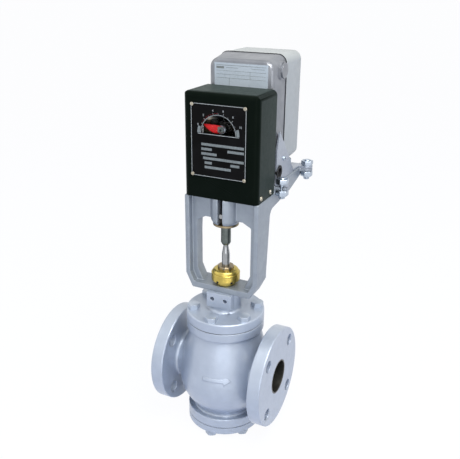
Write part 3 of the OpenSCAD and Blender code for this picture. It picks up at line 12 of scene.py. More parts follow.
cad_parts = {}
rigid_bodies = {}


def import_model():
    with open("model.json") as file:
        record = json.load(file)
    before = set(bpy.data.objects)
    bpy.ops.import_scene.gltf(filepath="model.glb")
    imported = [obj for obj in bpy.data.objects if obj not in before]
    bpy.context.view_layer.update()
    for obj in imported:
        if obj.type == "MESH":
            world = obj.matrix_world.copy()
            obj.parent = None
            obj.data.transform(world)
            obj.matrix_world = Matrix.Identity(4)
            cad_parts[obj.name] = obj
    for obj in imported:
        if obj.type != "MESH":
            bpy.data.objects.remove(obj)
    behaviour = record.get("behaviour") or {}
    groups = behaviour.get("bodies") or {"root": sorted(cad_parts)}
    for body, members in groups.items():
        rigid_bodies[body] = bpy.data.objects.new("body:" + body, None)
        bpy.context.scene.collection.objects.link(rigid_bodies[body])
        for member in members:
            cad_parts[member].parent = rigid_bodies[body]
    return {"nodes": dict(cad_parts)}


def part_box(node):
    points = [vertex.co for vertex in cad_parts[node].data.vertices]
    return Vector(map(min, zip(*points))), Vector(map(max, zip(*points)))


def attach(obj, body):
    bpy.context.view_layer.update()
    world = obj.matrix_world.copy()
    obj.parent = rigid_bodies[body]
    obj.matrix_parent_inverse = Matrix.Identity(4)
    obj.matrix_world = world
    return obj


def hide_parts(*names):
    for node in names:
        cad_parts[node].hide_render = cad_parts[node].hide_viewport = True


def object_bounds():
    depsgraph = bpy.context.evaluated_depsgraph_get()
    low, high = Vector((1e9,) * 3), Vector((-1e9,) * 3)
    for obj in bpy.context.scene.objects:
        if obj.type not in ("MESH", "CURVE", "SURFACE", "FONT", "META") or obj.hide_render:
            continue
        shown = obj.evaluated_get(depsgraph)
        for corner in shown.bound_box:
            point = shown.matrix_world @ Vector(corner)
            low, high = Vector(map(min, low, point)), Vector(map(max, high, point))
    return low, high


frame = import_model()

LOG = logging.getLogger("motor_valve")
MM = 0.001
MERGE_MM = 0.02
FLAT_DEGREES = 0.6
SMOOTH_DEGREES = 32
CORNER_DEGREES = 40
CAD_LOW, CAD_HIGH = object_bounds()
AXIS_X = sum(corner.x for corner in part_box("wiper_ring")) / 2

Colour = tuple[float, float, float]
Place = tuple[float, float, float]


def at(x: float, y: float, z: float) -> Vector:
    """Point of the scene for a place in mm from the stem axis, the middle plane and the pipe's axis."""
    return Vector((AXIS_X + x * MM, y * MM, z * MM))


class Body(Enum):
    """Bodies that move as one, as the record names them."""

    ROOT = "root"
    LIFTER = "lifter"
    SPINDLE = "spindle"


class Facing(Enum):
    """Directions that a screw head, a ring or a row of rings looks in."""

    UP = Matrix.Identity(4)
    DOWN = Matrix.Rotation(math.pi, 4, "X")
    FRONT = Matrix.Rotation(math.pi / 2, 4, "X")
    BACK = Matrix.Rotation(-math.pi / 2, 4, "X")
    LEFT = Matrix.Rotation(-math.pi / 2, 4, "Y")
    RIGHT = Matrix.Rotation(math.pi / 2, 4, "Y")


class Nodes:
    """Node tree with short ways to add nodes and sums."""

    def __init__(self, tree: bpy.types.NodeTree) -> None:
        """Takes up a tree.

        Args:
            tree: Node tree of a material, a world or a recipe.
        """
        self.tree = tree

    def node(self, kind: str, inputs: dict[str | int, object] | None = None,
             **fixed: object) -> bpy.types.Node:
        """Adds a node.

        Args:
            kind: Type name of the node.
            inputs: Sockets or plain values for its inputs.
            fixed: Values of the node's own properties.

        Returns:
            The new node.
        """
        made = self.tree.nodes.new(kind)
        for key, value in fixed.items():
            setattr(made, key, value)
        for key, value in (inputs or {}).items():
            if isinstance(value, bpy.types.NodeSocket):
                self.tree.links.new(value, made.inputs[key])
            else:
                made.inputs[key].default_value = value
        return made

    def math(self, operation: str, first: object, second: object = 0.0) -> bpy.types.NodeSocket:
        """Result of a sum on two sockets or numbers."""
        return self.node("ShaderNodeMath", {0: first, 1: second}, operation=operation).outputs[0]

    def seen_white(self) -> bpy.types.NodeSocket:
        """Factor that is 1 for rays from the camera, from gloss and through glass.

        Returns:
            The factor's socket.
        """
        path = self.node("ShaderNodeLightPath")
        total = path.outputs["Is Camera Ray"]
        for key in ("Is Glossy Ray", "Is Transmission Ray"):
            total = self.math("MAXIMUM", total, path.outputs[key])
        return total

    def end_with(self, name: str, first: bpy.types.NodeSocket, second: bpy.types.NodeSocket,
                 share: bpy.types.NodeSocket) -> None:
        """Ends the tree in a mix of two shaders.

        Args:
            name: Name of the tree's output node.
            first: Shader seen where the share is 0.
            second: Shader seen where the share is 1.
            share: Share of the second shader.
        """
        mix = self.node("ShaderNodeMixShader", {"Fac": share, 1: first, 2: second})
        self.tree.links.new(mix.outputs[0], self.tree.nodes[name].inputs["Surface"])


class Shader(Nodes):
    """Node tree of one material, with the patterns that the finishes share."""

    def __init__(self, name: str) -> None:
        """Starts the tree of a new material.

        Args:
            name: Name of the material.
        """
        self.material = bpy.data.materials.new(name)
        self.material.use_nodes = True
        super().__init__(self.material.node_tree)
        self.surface = self.tree.nodes["Principled BSDF"]
        self.place = self.node("ShaderNodeTexCoord").outputs["Object"]

    def wire(self, source: bpy.types.NodeSocket, key: str) -> None:
        """Joins an output to one of the surface's inputs."""
        self.tree.links.new(source, self.surface.inputs[key])

    def constants(self, **values: object) -> None:
        """Sets plain values on the surface's own sockets; underscores in a name stand for blanks."""
        for key, value in values.items():
            self.surface.inputs[key.replace("_", " ")].default_value = value

    def noise(self, size_mm: float, detail: float = 3.0) -> bpy.types.NodeSocket:
        """Noise on the object's own coordinates.

        Args:
            size_mm: Size of one blotch in mm.
            detail: Number of finer layers.

        Returns:
            The noise's value socket.
        """
        settings = {"Vector": self.place, "Scale": 1.0 / (size_mm * MM), "Detail": detail}
        return self.node("ShaderNodeTexNoise", settings).outputs["Fac"]

    def spread(self, source: bpy.types.NodeSocket, low: float, high: float) -> bpy.types.NodeSocket:
        """Maps a noise onto a range.

        Args:
            source: Value around 0.5.
            low: Result where the value is 0.3.
            high: Result where the value is 0.7.

        Returns:
            The mapped value.
        """
        settings = {"Value": source, "From Min": 0.3, "From Max": 0.7, "To Min": low, "To Max": high}
        return self.node("ShaderNodeMapRange", settings).outputs["Result"]

    def tint(self, factor: bpy.types.NodeSocket, first: object, second: object) -> None:
        """Colours the surface between two tones.

        Args:
            factor: Share of the second tone.
            first: Socket or opaque RGBA tone where the factor is 0.
            second: Socket or opaque RGBA tone where the factor is 1.
        """
        mix = self.node("ShaderNodeMix", {"Factor": factor, "A": first, "B": second}, data_type="RGBA")
        self.wire(mix.outputs["Result"], "Base Color")

    def blotches(self, size_mm: float, first: Colour, second: Colour, detail: float = 3.0) -> None:
        """Colours the surface in soft blotches of two tones.

        Args:
            size_mm: Size of one blotch in mm.
            first: Main colour.
            second: Colour of the blotches.
            detail: Number of finer layers.
        """
        self.tint(self.spread(self.noise(size_mm, detail), 0, 1), (*first, 1), (*second, 1))

    def roughen(self, size_mm: float, low: float, high: float) -> None:
        """Lets the roughness wander over the surface.

        Args:
            size_mm: Size of one patch in mm.
            low: Least roughness.
            high: Greatest roughness.
        """
        self.wire(self.spread(self.noise(size_mm), low, high), "Roughness")

    def inside_pipe(self, radius: float) -> bpy.types.NodeSocket:
        """Mask of the bore that runs along the pipe.

        Args:
            radius: Radius of the bore in mm.

        Returns:
            1 inside the bore, 0 elsewhere.
        """
        split = self.node("ShaderNodeSeparateXYZ", {0: self.place}).outputs
        squares = [self.math("MULTIPLY", split[axis], split[axis]) for axis in ("Y", "Z")]
        return self.math("LESS_THAN", self.math("SQRT", self.math("ADD", *squares)), radius * MM)

    def cover(self, mask: bpy.types.NodeSocket, colour: Colour) -> None:
        """Puts a colour over the surface's own where the mask is 1."""
        self.tint(mask, self.surface.inputs["Base Color"].links[0].from_socket, (*colour, 1))

    def relief(self, layers: Sequence[tuple[bpy.types.NodeSocket, float]], round_mm: float = 0) -> None:
        """Stacks bumps on the surface.

        Args:
            layers: Height sockets with their depth in mm.
            round_mm: Radius by which inner and outer corners look rounded.
        """
        normal = None
        if round_mm:
            normal = self.node("ShaderNodeBevel", {"Radius": round_mm * MM}, samples=6).outputs["Normal"]
        for height, depth in layers:
            settings = {"Distance": depth * MM, "Strength": 1, "Height": height}
            if normal is not None:
                settings["Normal"] = normal
            normal = self.node("ShaderNodeBump", settings).outputs["Normal"]
        self.wire(normal, "Normal")


@dataclass(frozen=True)
class CastPaint:
    """Silver or grey paint over a sand casting; out to a radius in mm the pipe's bore is bare and darkened to
    near black as painted shade.
    """

    name: str
    slot: str
    colour: Colour
    shade: Colour
    metallic: float = 0.55
    rough: float = 0.36
    round_mm: float = 2.5
    grain: float = 0.05
    bore: float = 0.0
    # near-black tone painted into the bore as shade
    painted_bore_shade: Colour = (0.035, 0.034, 0.028)
    coat: float = 0.12

    def make(self) -> bpy.types.Material:
        """Builds the paint: faint blotches, sand grain, slow waves of the mould and painted shade in the
        bore.

        Returns:
            The material.
        """
        mat = Shader(self.name)
        mat.constants(Metallic=self.metallic, Coat_Weight=self.coat, Coat_Roughness=0.3)
        mat.blotches(16, self.colour, self.shade, 4)
        # painted shade: the bore is coloured near black
        if self.bore:
            mat.cover(mat.inside_pipe(self.bore), self.painted_bore_shade)
        mat.roughen(5, self.rough - 0.05, self.rough + 0.07)
        mat.relief([(mat.noise(1.3, 2), self.grain), (mat.noise(11, 2), self.grain * 4)], self.round_mm)
        return mat.material


@dataclass(frozen=True)
class PowderCoat:
    """Fine-grained baked coating on sheet or die-cast metal, with a faint sea-green sheen where asked."""

    name: str
    slot: str
    colour: Colour
    shade: Colour
    rough: float = 0.4
    metallic: float = 0.0
    grain: float = 0.03
    gloss: float = 0.5
    sheen: float = 0.0
    sheen_tone: Colour = (0.8, 1.0, 0.93)

    def make(self) -> bpy.types.Material:
        """Builds the coating with orange-peel relief and a slight change of gloss.

        Returns:
            The material.
        """
        mat = Shader(self.name)
        mat.constants(Metallic=self.metallic, Specular_IOR_Level=self.gloss, Sheen_Weight=self.sheen,
                      Sheen_Roughness=0.35, Sheen_Tint=(*self.sheen_tone, 1))
        mat.blotches(22, self.colour, self.shade)
        mat.roughen(7, self.rough - 0.04, self.rough + 0.06)
        mat.relief([(mat.noise(0.9, 2), self.grain), (mat.noise(4.5, 1), self.grain)])
        return mat.material


@dataclass(frozen=True)
class Metal:
    """Bare or plated metal, with lathe lines along Z where it was turned."""

    name: str
    slot: str
    colour: Colour
    shade: Colour
    rough: float = 0.25
    ring_mm: float = 0.0
    ring_depth: float = 0.02

    def make(self) -> bpy.types.Material:
        """Builds the metal: patchy tone and gloss, fine scratches and turned rings.

        Returns:
            The material.
        """
        mat = Shader(self.name)
        mat.constants(Metallic=1.0)
        mat.blotches(9, self.colour, self.shade)
        mat.roughen(4, self.rough - 0.03, self.rough + 0.05)
        layers = [(mat.noise(0.7, 2), 0.002)]
        if self.ring_mm:
            settings = {"Vector": mat.place, "Scale": math.pi / (20 * self.ring_mm * MM), "Distortion": 0.4}
            rings = mat.node("ShaderNodeTexWave", settings, wave_type="BANDS", bands_direction="Z")
            layers.append((rings.outputs["Fac"], self.ring_depth))
        mat.relief(layers)
        return mat.material


@dataclass(frozen=True)
class Moulding:
    """Moulded plastic, rubber, packing cord or print, which carry no metal."""

    name: str
    slot: str
    colour: Colour
    shade: Colour
    rough: float = 0.45
    grain: float = 0.02
    blotch: float = 30.0
    gloss: float = 0.5

    def make(self) -> bpy.types.Material:
        """Builds the moulding with faint flow marks and a fine skin.

        Returns:
            The material.
        """
        mat = Shader(self.name)
        mat.constants(Specular_IOR_Level=self.gloss)
        mat.blotches(self.blotch, self.colour, self.shade)
        mat.roughen(9, self.rough - 0.05, self.rough + 0.05)
        mat.relief([(mat.noise(0.6, 2), self.grain)])
        return mat.material


@dataclass(frozen=True)
class Pane:
    """Clear window of the dial."""

    name: str = "clear pane"
    slot: str = "clear_pane"
    colour: Colour = (0.96, 0.98, 0.97)
    shade: Colour = (0.9, 0.93, 0.92)

    def make(self) -> bpy.types.Material:
        """Builds thin clear plastic with light dust in its gloss.

        Returns:
            The material.
        """
        mat = Shader(self.name)
        mat.constants(Transmission_Weight=1.0, IOR=1.12, Alpha=0.35)
        mat.blotches(12, self.colour, self.shade)
        mat.roughen(3, 0.02, 0.08)
        return mat.material


Finish = CastPaint | PowderCoat | Metal | Moulding | Pane

SILVER_TONE = ((0.44, 0.49, 0.57), (0.4, 0.45, 0.53))
SILVER = CastPaint("silver paint on cast iron", "silver_paint", *SILVER_TONE, rough=0.42)
COVER_SILVER = CastPaint("silver paint on covers", "silver_paint", *SILVER_TONE, rough=0.4, round_mm=0.6)
# bore=27.0 paints near-black shade into the pipe's bore
BODY_SILVER = CastPaint("silver paint with painted bore shade", "silver_paint", *SILVER_TONE, rough=0.38,
                        bore=27.0, coat=0.35)
BOLT_SILVER = CastPaint("silver paint on bolts", "silver_paint", (0.46, 0.51, 0.58), (0.38, 0.43, 0.5),
                        rough=0.38, round_mm=0.4, grain=0.02)
YOKE_GREY = CastPaint("grey paint on the yoke", "yoke_paint", (0.3, 0.335, 0.37), (0.26, 0.29, 0.33),
                      rough=0.45, round_mm=1.2)
PLATE_GREY = CastPaint("grey paint on plate", "yoke_paint", (0.37, 0.4, 0.45), (0.31, 0.34, 0.39),
                       round_mm=0.4, grain=0.02)
COVER_BLACK = PowderCoat("black cover coat", "cover_black", (0.0008, 0.0028, 0.0014), (0.0018, 0.004, 0.0024),
                         0.42, gloss=0.03, sheen=0.22)
# painted shade: the bearing bracket is coloured black for the shade inside the cover
BRACKET_SHADE_BLACK = PowderCoat("bracket black as painted shade", "cover_black", (0.004, 0.005, 0.004), (0.007, 0.008, 0.007),
                           0.5, gloss=0.1)
DIE_CAST = PowderCoat("die-cast housing", "die_cast", (0.27, 0.28, 0.3), (0.2, 0.21, 0.23), 0.32, 0.6, 0.05)
DIAL_BLACK = Moulding("dial enamel", "dial_black", (0.002, 0.002, 0.002), (0.005, 0.005, 0.005), 0.35, 0.005,
                      gloss=0.05)
PRINT_GREY = Moulding("dial print", "label_white", (0.21, 0.23, 0.22), (0.14, 0.155, 0.15), 0.5, 0.01, 2.0,
                      0.1)
PRINT_LIGHT = Moulding("dial line print", "label_white", (0.4, 0.42, 0.4), (0.28, 0.3, 0.29), 0.5, 0.01, 2.0,
                       0.1)
LABEL = Moulding("label film", "label_white", (0.42, 0.47, 0.51), (0.38, 0.43, 0.47), 0.3, 0.005)
PALE = Moulding("pale moulding", "pale_plastic", (0.34, 0.362, 0.358), (0.315, 0.337, 0.336), 0.35)
RED = PowderCoat("red enamel", "pointer_red", (0.7, 0.014, 0.016), (0.55, 0.01, 0.012), 0.4, 0, 0.01, 0.3)
DOT_RED = Moulding("dark red print", "pointer_red", (0.2, 0.012, 0.014), (0.12, 0.01, 0.01), 0.5, 0.01, 2.0,
                   0.1)
STEEL = Metal("turned steel", "steel", (0.4, 0.41, 0.42), (0.3, 0.31, 0.32), 0.2, 0.5, 0.01)
DARK_STEEL = Metal("dark steel", "dark_steel", (0.15, 0.17, 0.165), (0.1, 0.12, 0.115), 0.3, 0.6, 0.01)
ZINC = Metal("zinc plate", "zinc_plate", (0.5, 0.56, 0.64), (0.38, 0.44, 0.52), 0.34)
NICKEL = Metal("nickel on brass", "steel", (0.5, 0.47, 0.4), (0.38, 0.35, 0.28), 0.28)
BRASS = Metal("brass", "brass", (0.57, 0.45, 0.12), (0.5, 0.39, 0.1), 0.3, 0.8, 0.002)
# painted shade: near-black steel for the rack and pinion, which sit in shade inside the cover
SHADED_STEEL = Metal("steel darkened as painted shade", "dark_steel", (0.055, 0.055, 0.05), (0.03, 0.03, 0.028), 0.34)
BRONZE = Metal("bronze", "bronze", (0.36, 0.29, 0.18), (0.26, 0.21, 0.14), 0.32, 0.7, 0.006)
RUBBER = Moulding("black rubber", "black_rubber", (0.008, 0.008, 0.009), (0.014, 0.014, 0.015), 0.55,
                  gloss=0.2)
SWITCH_BLACK = Moulding("switch housing", "switch_black", (0.02, 0.02, 0.02), (0.03, 0.03, 0.03), 0.4)
CAM_PLASTIC = Moulding("cam plastic", "cam_plastic", (0.7, 0.68, 0.6), (0.62, 0.6, 0.52), 0.4)
PACKING = Moulding("packing cord", "packing", (0.1, 0.1, 0.095), (0.06, 0.06, 0.055), 0.7, 0.08, 1.5)
PANE = Pane()

BARE_NODES: dict[Finish, tuple[str, ...]] = {
    STEEL: ("seat_ring", "valve_plug", "plug_pin", "packing_washer", "output_shaft", "gear_plate", "gearbox",
            "drive_motor", "packing_spring"),
    BRONZE: ("lower_guide_bush", "upper_guide_bush", "packing_follower", "rod_bushes", "shaft_bearing",
             "rack_guide"),
    PACKING: ("bottom_gasket", "bonnet_gasket", "packing_rings"),
    SWITCH_BLACK: ("limit_switches", "terminal_block"),
    CAM_PLASTIC: ("switch_cams",),
    PANE: ("dial_window",),
}


class Shop:
    """Workbench of the scene: it makes meshes and hands finished pieces to the frame."""

    def __init__(self) -> None:
        """Starts with no material made."""
        self.made: dict[Finish, bpy.types.Material] = {}

    def material(self, finish: Finish) -> bpy.types.Material:
        """Material of a finish, made once.

        Args:
            finish: The finish.

        Returns:
            Its material.
        """
        if finish not in self.made:
            self.made[finish] = finish.make()
        return self.made[finish]

    def link(self, name: str, data: bpy.types.ID) -> bpy.types.Object:
        """Puts an object into the scene.

        Args:
            name: Name of the object.
            data: Its mesh, text, lens or light.

        Returns:
            The new object.
        """
        made = bpy.data.objects.new(name, data)
        bpy.context.scene.collection.objects.link(made)
        return made

    def poured(self, name: str, shape: bmesh.types.BMesh) -> bpy.types.Object:
        """Pours a shape into an object of its own and uses it up.

        Args:
            name: Name of the object.
            shape: Shape in memory.

        Returns:
            The new object.
        """
        mesh = bpy.data.meshes.new(name)
        shape.to_mesh(mesh)
        shape.free()
        return self.link(name, mesh)

    def settle(self, piece: bpy.types.Object) -> None:
        """Turns live modifiers into a plain mesh and smooths its curved faces.

        Args:
            piece: Object whose modifiers are to be applied.
        """
        evaluated = piece.evaluated_get(bpy.context.evaluated_depsgraph_get())
        mesh = bpy.data.meshes.new_from_object(evaluated)
        piece.modifiers.clear()
        piece.data = mesh
        if any(not face.use_smooth for face in mesh.polygons):
            mesh.shade_smooth()
            mesh.set_sharp_from_angle(angle=math.radians(SMOOTH_DEGREES))

    def hand_over(self, piece: bpy.types.Object, finish: Finish, nodes: Iterable[str] = (),
                  body: Body = Body.ROOT) -> bpy.types.Object:
        """Gives a piece its finish, its body and the nodes that it stands for, and reports it.

        Args:
            piece: Finished object.
            finish: Finish of all its faces.
            nodes: Nodes of the frame that it replaces.
            body: Body that it moves with.

        Returns:
            The same piece.
        """
        piece.data.materials.clear()
        piece.data.materials.append(self.material(finish))
        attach(piece, body.value)
        if nodes:
            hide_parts(*nodes)
        LOG.info("%s: %s, on %s", piece.name, finish.name, body.value)
        return piece

    def copy(self, name: str, node: str, whole: bool) -> bpy.types.Object:
        """Copies a node and merges its loose triangles.

        Args:
            name: Name of the copy.
            node: Node of the frame.
            whole: Makes flat faces whole.

        Returns:
            The copy.
        """
        shape = bmesh.new()
        shape.from_mesh(frame["nodes"][node].data)
        bmesh.ops.remove_doubles(shape, verts=shape.verts, dist=MERGE_MM * MM)
        if whole:
            bmesh.ops.dissolve_limit(shape, angle_limit=math.radians(FLAT_DEGREES), verts=shape.verts,
                                     edges=shape.edges)
        return self.poured(name, shape)

    def clean(self, mesh: bpy.types.Mesh) -> None:
        """Takes out faces and edges of no width.

        Args:
            mesh: Mesh that is changed.
        """
        shape = bmesh.new()
        shape.from_mesh(mesh)
        bmesh.ops.dissolve_degenerate(shape, dist=MM / 1000, edges=shape.edges)
        shape.to_mesh(mesh)
        shape.free()

    def dress(self, node: str, finish: Finish, body: Body = Body.ROOT, edge: float = 0.0,
              added: bpy.types.Object | None = None, whole: bool = True) -> bpy.types.Object:
        """Replaces a node by a copy with broken edges and its finish.

        Args:
            node: Node of the frame.
            finish: Finish of the copy.
            body: Body that it moves with.
            edge: Width of the broken edges in mm; 0 leaves them sharp.
            added: Closed shape that is fused to the copy.
            whole: Makes flat faces whole first, which many-sided moulded forms don't take.

        Returns:
            The piece.
        """
        piece = self.copy(f"{node}_dressed", node, whole)
        if added:
            fuse = piece.modifiers.new("fuse", "BOOLEAN")
            fuse.operation = "UNION"
            fuse.solver = "EXACT"
            fuse.object = added
            self.settle(piece)
            bpy.data.objects.remove(added)
        if edge:
            bevel = piece.modifiers.new("edge", "BEVEL")
            bevel.width = edge * MM
            bevel.segments = 2
            bevel.limit_method = "ANGLE"
            bevel.angle_limit = math.radians(CORNER_DEGREES)
            bevel.use_clamp_overlap = False
            bevel.miter_outer = "MITER_ARC"
        self.settle(piece)
        self.clean(piece.data)
        weigh = piece.modifiers.new("normals", "WEIGHTED_NORMAL")
        weigh.keep_sharp = True
        self.settle(piece)
        return self.hand_over(piece, finish, (node,), body)

    def loft(self, name: str, rings: Sequence[Sequence[Vector]], hollow: bool = False) -> bpy.types.Object:
        """Closed skin over rings of equally many points.

        Args:
            name: Name of the object.
            rings: Rings from the first end to the last.
            hollow: Joins the last ring to the first instead of closing both ends.

        Returns:
            The new object.
        """
        shape = bmesh.new()
        rows = [[shape.verts.new(point) for point in ring] for ring in rings]
        for below, above in zip(rows, rows[1:]):
            for i in range(len(below)):
                j = (i + 1) % len(below)
                shape.faces.new((below[i], below[j], above[j], above[i]))
        if hollow:
            for i in range(len(rows[0])):
                j = (i + 1) % len(rows[0])
                shape.faces.new((rows[-1][i], rows[-1][j], rows[0][j], rows[0][i]))
        else:
            shape.faces.new(tuple(reversed(rows[0])))
            shape.faces.new(rows[-1])
        bmesh.ops.recalc_face_normals(shape, faces=shape.faces)
        return self.poured(name, shape)

    def turned(self, name: str, outline: Sequence[tuple[float, float]], steps: int = 48,
               hollow: bool = False) -> bpy.types.Object:
        """Solid of revolution about Z.

        Args:
            name: Name of the object.
            outline: Radius and height pairs in mm, from the lower end up.
            steps: Number of sides.
            hollow: Closes the outline on itself, for a ring.

        Returns:
            The new object, round about its own origin.
        """
        angles = [2 * math.pi * i / steps for i in range(steps)]
        rings = [[Vector((r * MM * math.cos(a), r * MM * math.sin(a), z * MM)) for a in angles]
                 for r, z in outline]
        return self.loft(name, rings, hollow)

    def block(self, name: str, low: Place, high: Place) -> bpy.types.Object:
        """Box about its own origin between two corners in mm.

        Args:
            name: Name of the object.
            low: Corner with the least coordinates.
            high: Corner with the greatest ones.

        Returns:
            The new object.
        """
        corners = ((low[0], low[1]), (high[0], low[1]), (high[0], high[1]), (low[0], high[1]))
        return self.loft(name, [[Vector((x, y, z)) * MM for x, y in corners] for z in (low[2], high[2])])

    def slab(self, name: str, outline: Sequence[tuple[float, float]], near: float,
             thick: float) -> bpy.types.Object:
        """Flat plate that faces the front.

        Args:
            name: Name of the object.
            outline: X and z pairs in mm.
            near: Y of its front face in mm.
            thick: Thickness in mm.

        Returns:
            The new object in its place.
        """
        return self.loft(name, [[at(x, y, z) for x, z in outline] for y in (near, near + thick)])

    def join(self, name: str, parts: Sequence[bpy.types.Object]) -> bpy.types.Object:
        """One object out of several plain ones, whose places are applied.

        Args:
            name: Name of the result.
            parts: Objects that are used up.

        Returns:
            The joined object.
        """
        shape = bmesh.new()
        for part in parts:
            copy = part.data.copy()
            copy.transform(part.matrix_basis)
            shape.from_mesh(copy)
            bpy.data.objects.remove(part)
        return self.poured(name, shape)


SHOP = Shop()


class Recipe(Nodes):
    """Geometry Nodes tree with named sizes that ends in Realize Instances and Set Material."""

    def __init__(self, name: str, **sizes: float) -> None:
        """Starts a tree with its named inputs.

        Args:
            name: Name of the tree.
            sizes: Named inputs with their default values.
        """
        super().__init__(bpy.data.node_groups.new(name, "GeometryNodeTree"))
        self.tree.interface.new_socket("Geometry", in_out="OUTPUT", socket_type="NodeSocketGeometry")
        kinds = {int: "NodeSocketInt", float: "NodeSocketFloat"}
        self.keys = {}
        for key, value in sizes.items():
            entry = self.tree.interface.new_socket(key, in_out="INPUT", socket_type=kinds[type(value)])
            entry.default_value = value
            self.keys[key] = entry.identifier
        for key, kind in (("Shape", "NodeSocketObject"), ("Finish", "NodeSocketMaterial")):
            self.keys[key] = self.tree.interface.new_socket(key, in_out="INPUT", socket_type=kind).identifier
        self.enter = self.tree.nodes.new("NodeGroupInput")
        self.leave = self.tree.nodes.new("NodeGroupOutput")

    def size(self, key: str) -> bpy.types.NodeSocket:
        """Output of a named input."""
        return self.enter.outputs[key]

    def vector(self, x: object = 0.0, y: object = 0.0, z: object = 0.0) -> bpy.types.NodeSocket:
        """Vector out of three sockets or numbers."""
        return self.node("ShaderNodeCombineXYZ", {0: x, 1: y, 2: z}).outputs[0]

    def round_the_axis(self, count: bpy.types.NodeSocket, reach: bpy.types.NodeSocket,
                       turn: bpy.types.NodeSocket) -> bpy.types.NodeSocket:
        """Points about the Z axis.

        Args:
            count: Number of points.
            reach: Distance of each from the axis.
            turn: Angle of each.

        Returns:
            The points' geometry socket.
        """
        across, along = (self.math("MULTIPLY", reach, self.math(side, turn)) for side in ("COSINE", "SINE"))
        spots = self.node("GeometryNodePoints", {"Count": count, "Position": self.vector(across, along)})
        return spots.outputs[0]

    def end(self, geometry: bpy.types.NodeSocket) -> None:
        """Closes the tree: instances become real and take the finish.

        Args:
            geometry: Geometry that the tree has made.
        """
        real = self.node("GeometryNodeRealizeInstances", {0: geometry}).outputs[0]
        done = self.node("GeometryNodeSetMaterial", {0: real, "Material": self.size("Finish")}).outputs[0]
        self.tree.links.new(done, self.leave.inputs[0])

    def grow(self, name: str, finish: Finish, place: Matrix, shape: bpy.types.Object | None = None,
             **sizes: float) -> bpy.types.Object:
        """Runs the tree and leaves a plain mesh.

        Args:
            name: Name of the new object.
            finish: Finish that the tree sets.
            place: Place and turn that go into the mesh.
            shape: Object that is repeated.
            sizes: Values of the named inputs.

        Returns:
            The new object with its place in its mesh.
        """
        grown = SHOP.link(name, bpy.data.meshes.new(name))
        run = grown.modifiers.new("recipe", "NODES")
        run.node_group = self.tree
        run[self.keys["Finish"]] = SHOP.material(finish)
        run[self.keys["Shape"]] = shape
        for key, value in sizes.items():
            run[self.keys[key]] = value
        SHOP.settle(grown)
        grown.data.transform(place)
        return grown


def ring_recipe() -> Recipe:
    """Shapes set round a circle, for bolt circles and rim notches.

    Returns:
        The tree.
    """
    tree = Recipe("ring of shapes", Count=6, Radius=1.0, Start=0.0, Spin=0.0)
    index = tree.node("GeometryNodeInputIndex").outputs[0]
    step = tree.math("DIVIDE", 2 * math.pi, tree.size("Count"))
    turn = tree.math("ADD", tree.size("Start"), tree.math("MULTIPLY", index, step))
    shape = tree.node("GeometryNodeObjectInfo", {"Object": tree.size("Shape"), "As Instance": True})
    tree.end(tree.node("GeometryNodeInstanceOnPoints", {
        "Points": tree.round_the_axis(tree.size("Count"), tree.size("Radius"), turn),
        "Instance": shape.outputs["Geometry"],
        "Rotation": tree.vector(z=tree.math("ADD", turn, tree.size("Spin")))}).outputs[0])
    return tree


def thread_recipe() -> Recipe:
    """Screw thread: a ridge that climbs a core.

    Returns:
        The tree.
    """
    tree = Recipe("screw thread", Radius=0.005, Pitch=0.0015, Turns=4.0, Ridge=0.0004)
    height = tree.math("MULTIPLY", tree.size("Turns"), tree.size("Pitch"))
    path = tree.node("GeometryNodeCurveSpiral", {
        "Resolution": 24, "Rotations": tree.size("Turns"), "Start Radius": tree.size("Radius"),
        "End Radius": tree.size("Radius"), "Height": height})
    ridge = tree.node("GeometryNodeCurvePrimitiveCircle", {"Resolution": 4, "Radius": tree.size("Ridge")})
    tree.end(tree.node("GeometryNodeCurveToMesh", {
        "Curve": path.outputs[0], "Profile Curve": ridge.outputs["Curve"], "Fill Caps": True}).outputs[0])
    return tree


def groove_recipe() -> Recipe:
    """Row of rings along an axis, for the lands between grooves.

    Returns:
        The tree.
    """
    tree = Recipe("row of rings", Count=5, Pitch=0.0015, Radius=0.02, Land=0.0004)
    step = tree.vector(z=tree.size("Pitch"))
    line = tree.node("GeometryNodeMeshLine", {"Count": tree.size("Count"), "Offset": step})
    path = tree.node("GeometryNodeCurvePrimitiveCircle", {"Resolution": 64, "Radius": tree.size("Radius")})
    land = tree.node("GeometryNodeCurvePrimitiveCircle", {"Resolution": 8, "Radius": tree.size("Land")})
    rings = tree.node("GeometryNodeCurveToMesh", {
        "Curve": path.outputs["Curve"], "Profile Curve": land.outputs["Curve"]})
    row = tree.node("GeometryNodeInstanceOnPoints", {"Points": line.outputs[0], "Instance": rings.outputs[0]})
    tree.end(row.outputs[0])
    return tree


def tick_recipe() -> Recipe:
    """Graduation: strokes along an arc, every other one long.

    Returns:
        The tree.
    """
    tree = Recipe("dial strokes", Count=11, Radius=0.03, Start=0.1, Sweep=2.9, Long=0.003, Short=0.0015,
                  Width=0.0004, Depth=0.0001)
    index = tree.node("GeometryNodeInputIndex").outputs[0]
    step = tree.math("DIVIDE", tree.size("Sweep"), tree.math("SUBTRACT", tree.size("Count"), 1.0))
    turn = tree.math("ADD", tree.size("Start"), tree.math("MULTIPLY", index, step))
    shorter = tree.math("SUBTRACT", tree.size("Short"), tree.size("Long"))
    odd = tree.math("MODULO", index, 2.0)
    length = tree.math("ADD", tree.size("Long"), tree.math("MULTIPLY", odd, shorter))
    reach = tree.math("ADD", tree.size("Radius"), tree.math("DIVIDE", length, 2.0))
    stroke = tree.node("GeometryNodeMeshCube", {"Size": (1, 1, 1)})
    tree.end(tree.node("GeometryNodeInstanceOnPoints", {
        "Points": tree.round_the_axis(tree.size("Count"), reach, turn), "Instance": stroke.outputs[0],
        "Rotation": tree.vector(z=turn),
        "Scale": tree.vector(length, tree.size("Width"), tree.size("Depth"))}).outputs[0])
    return tree


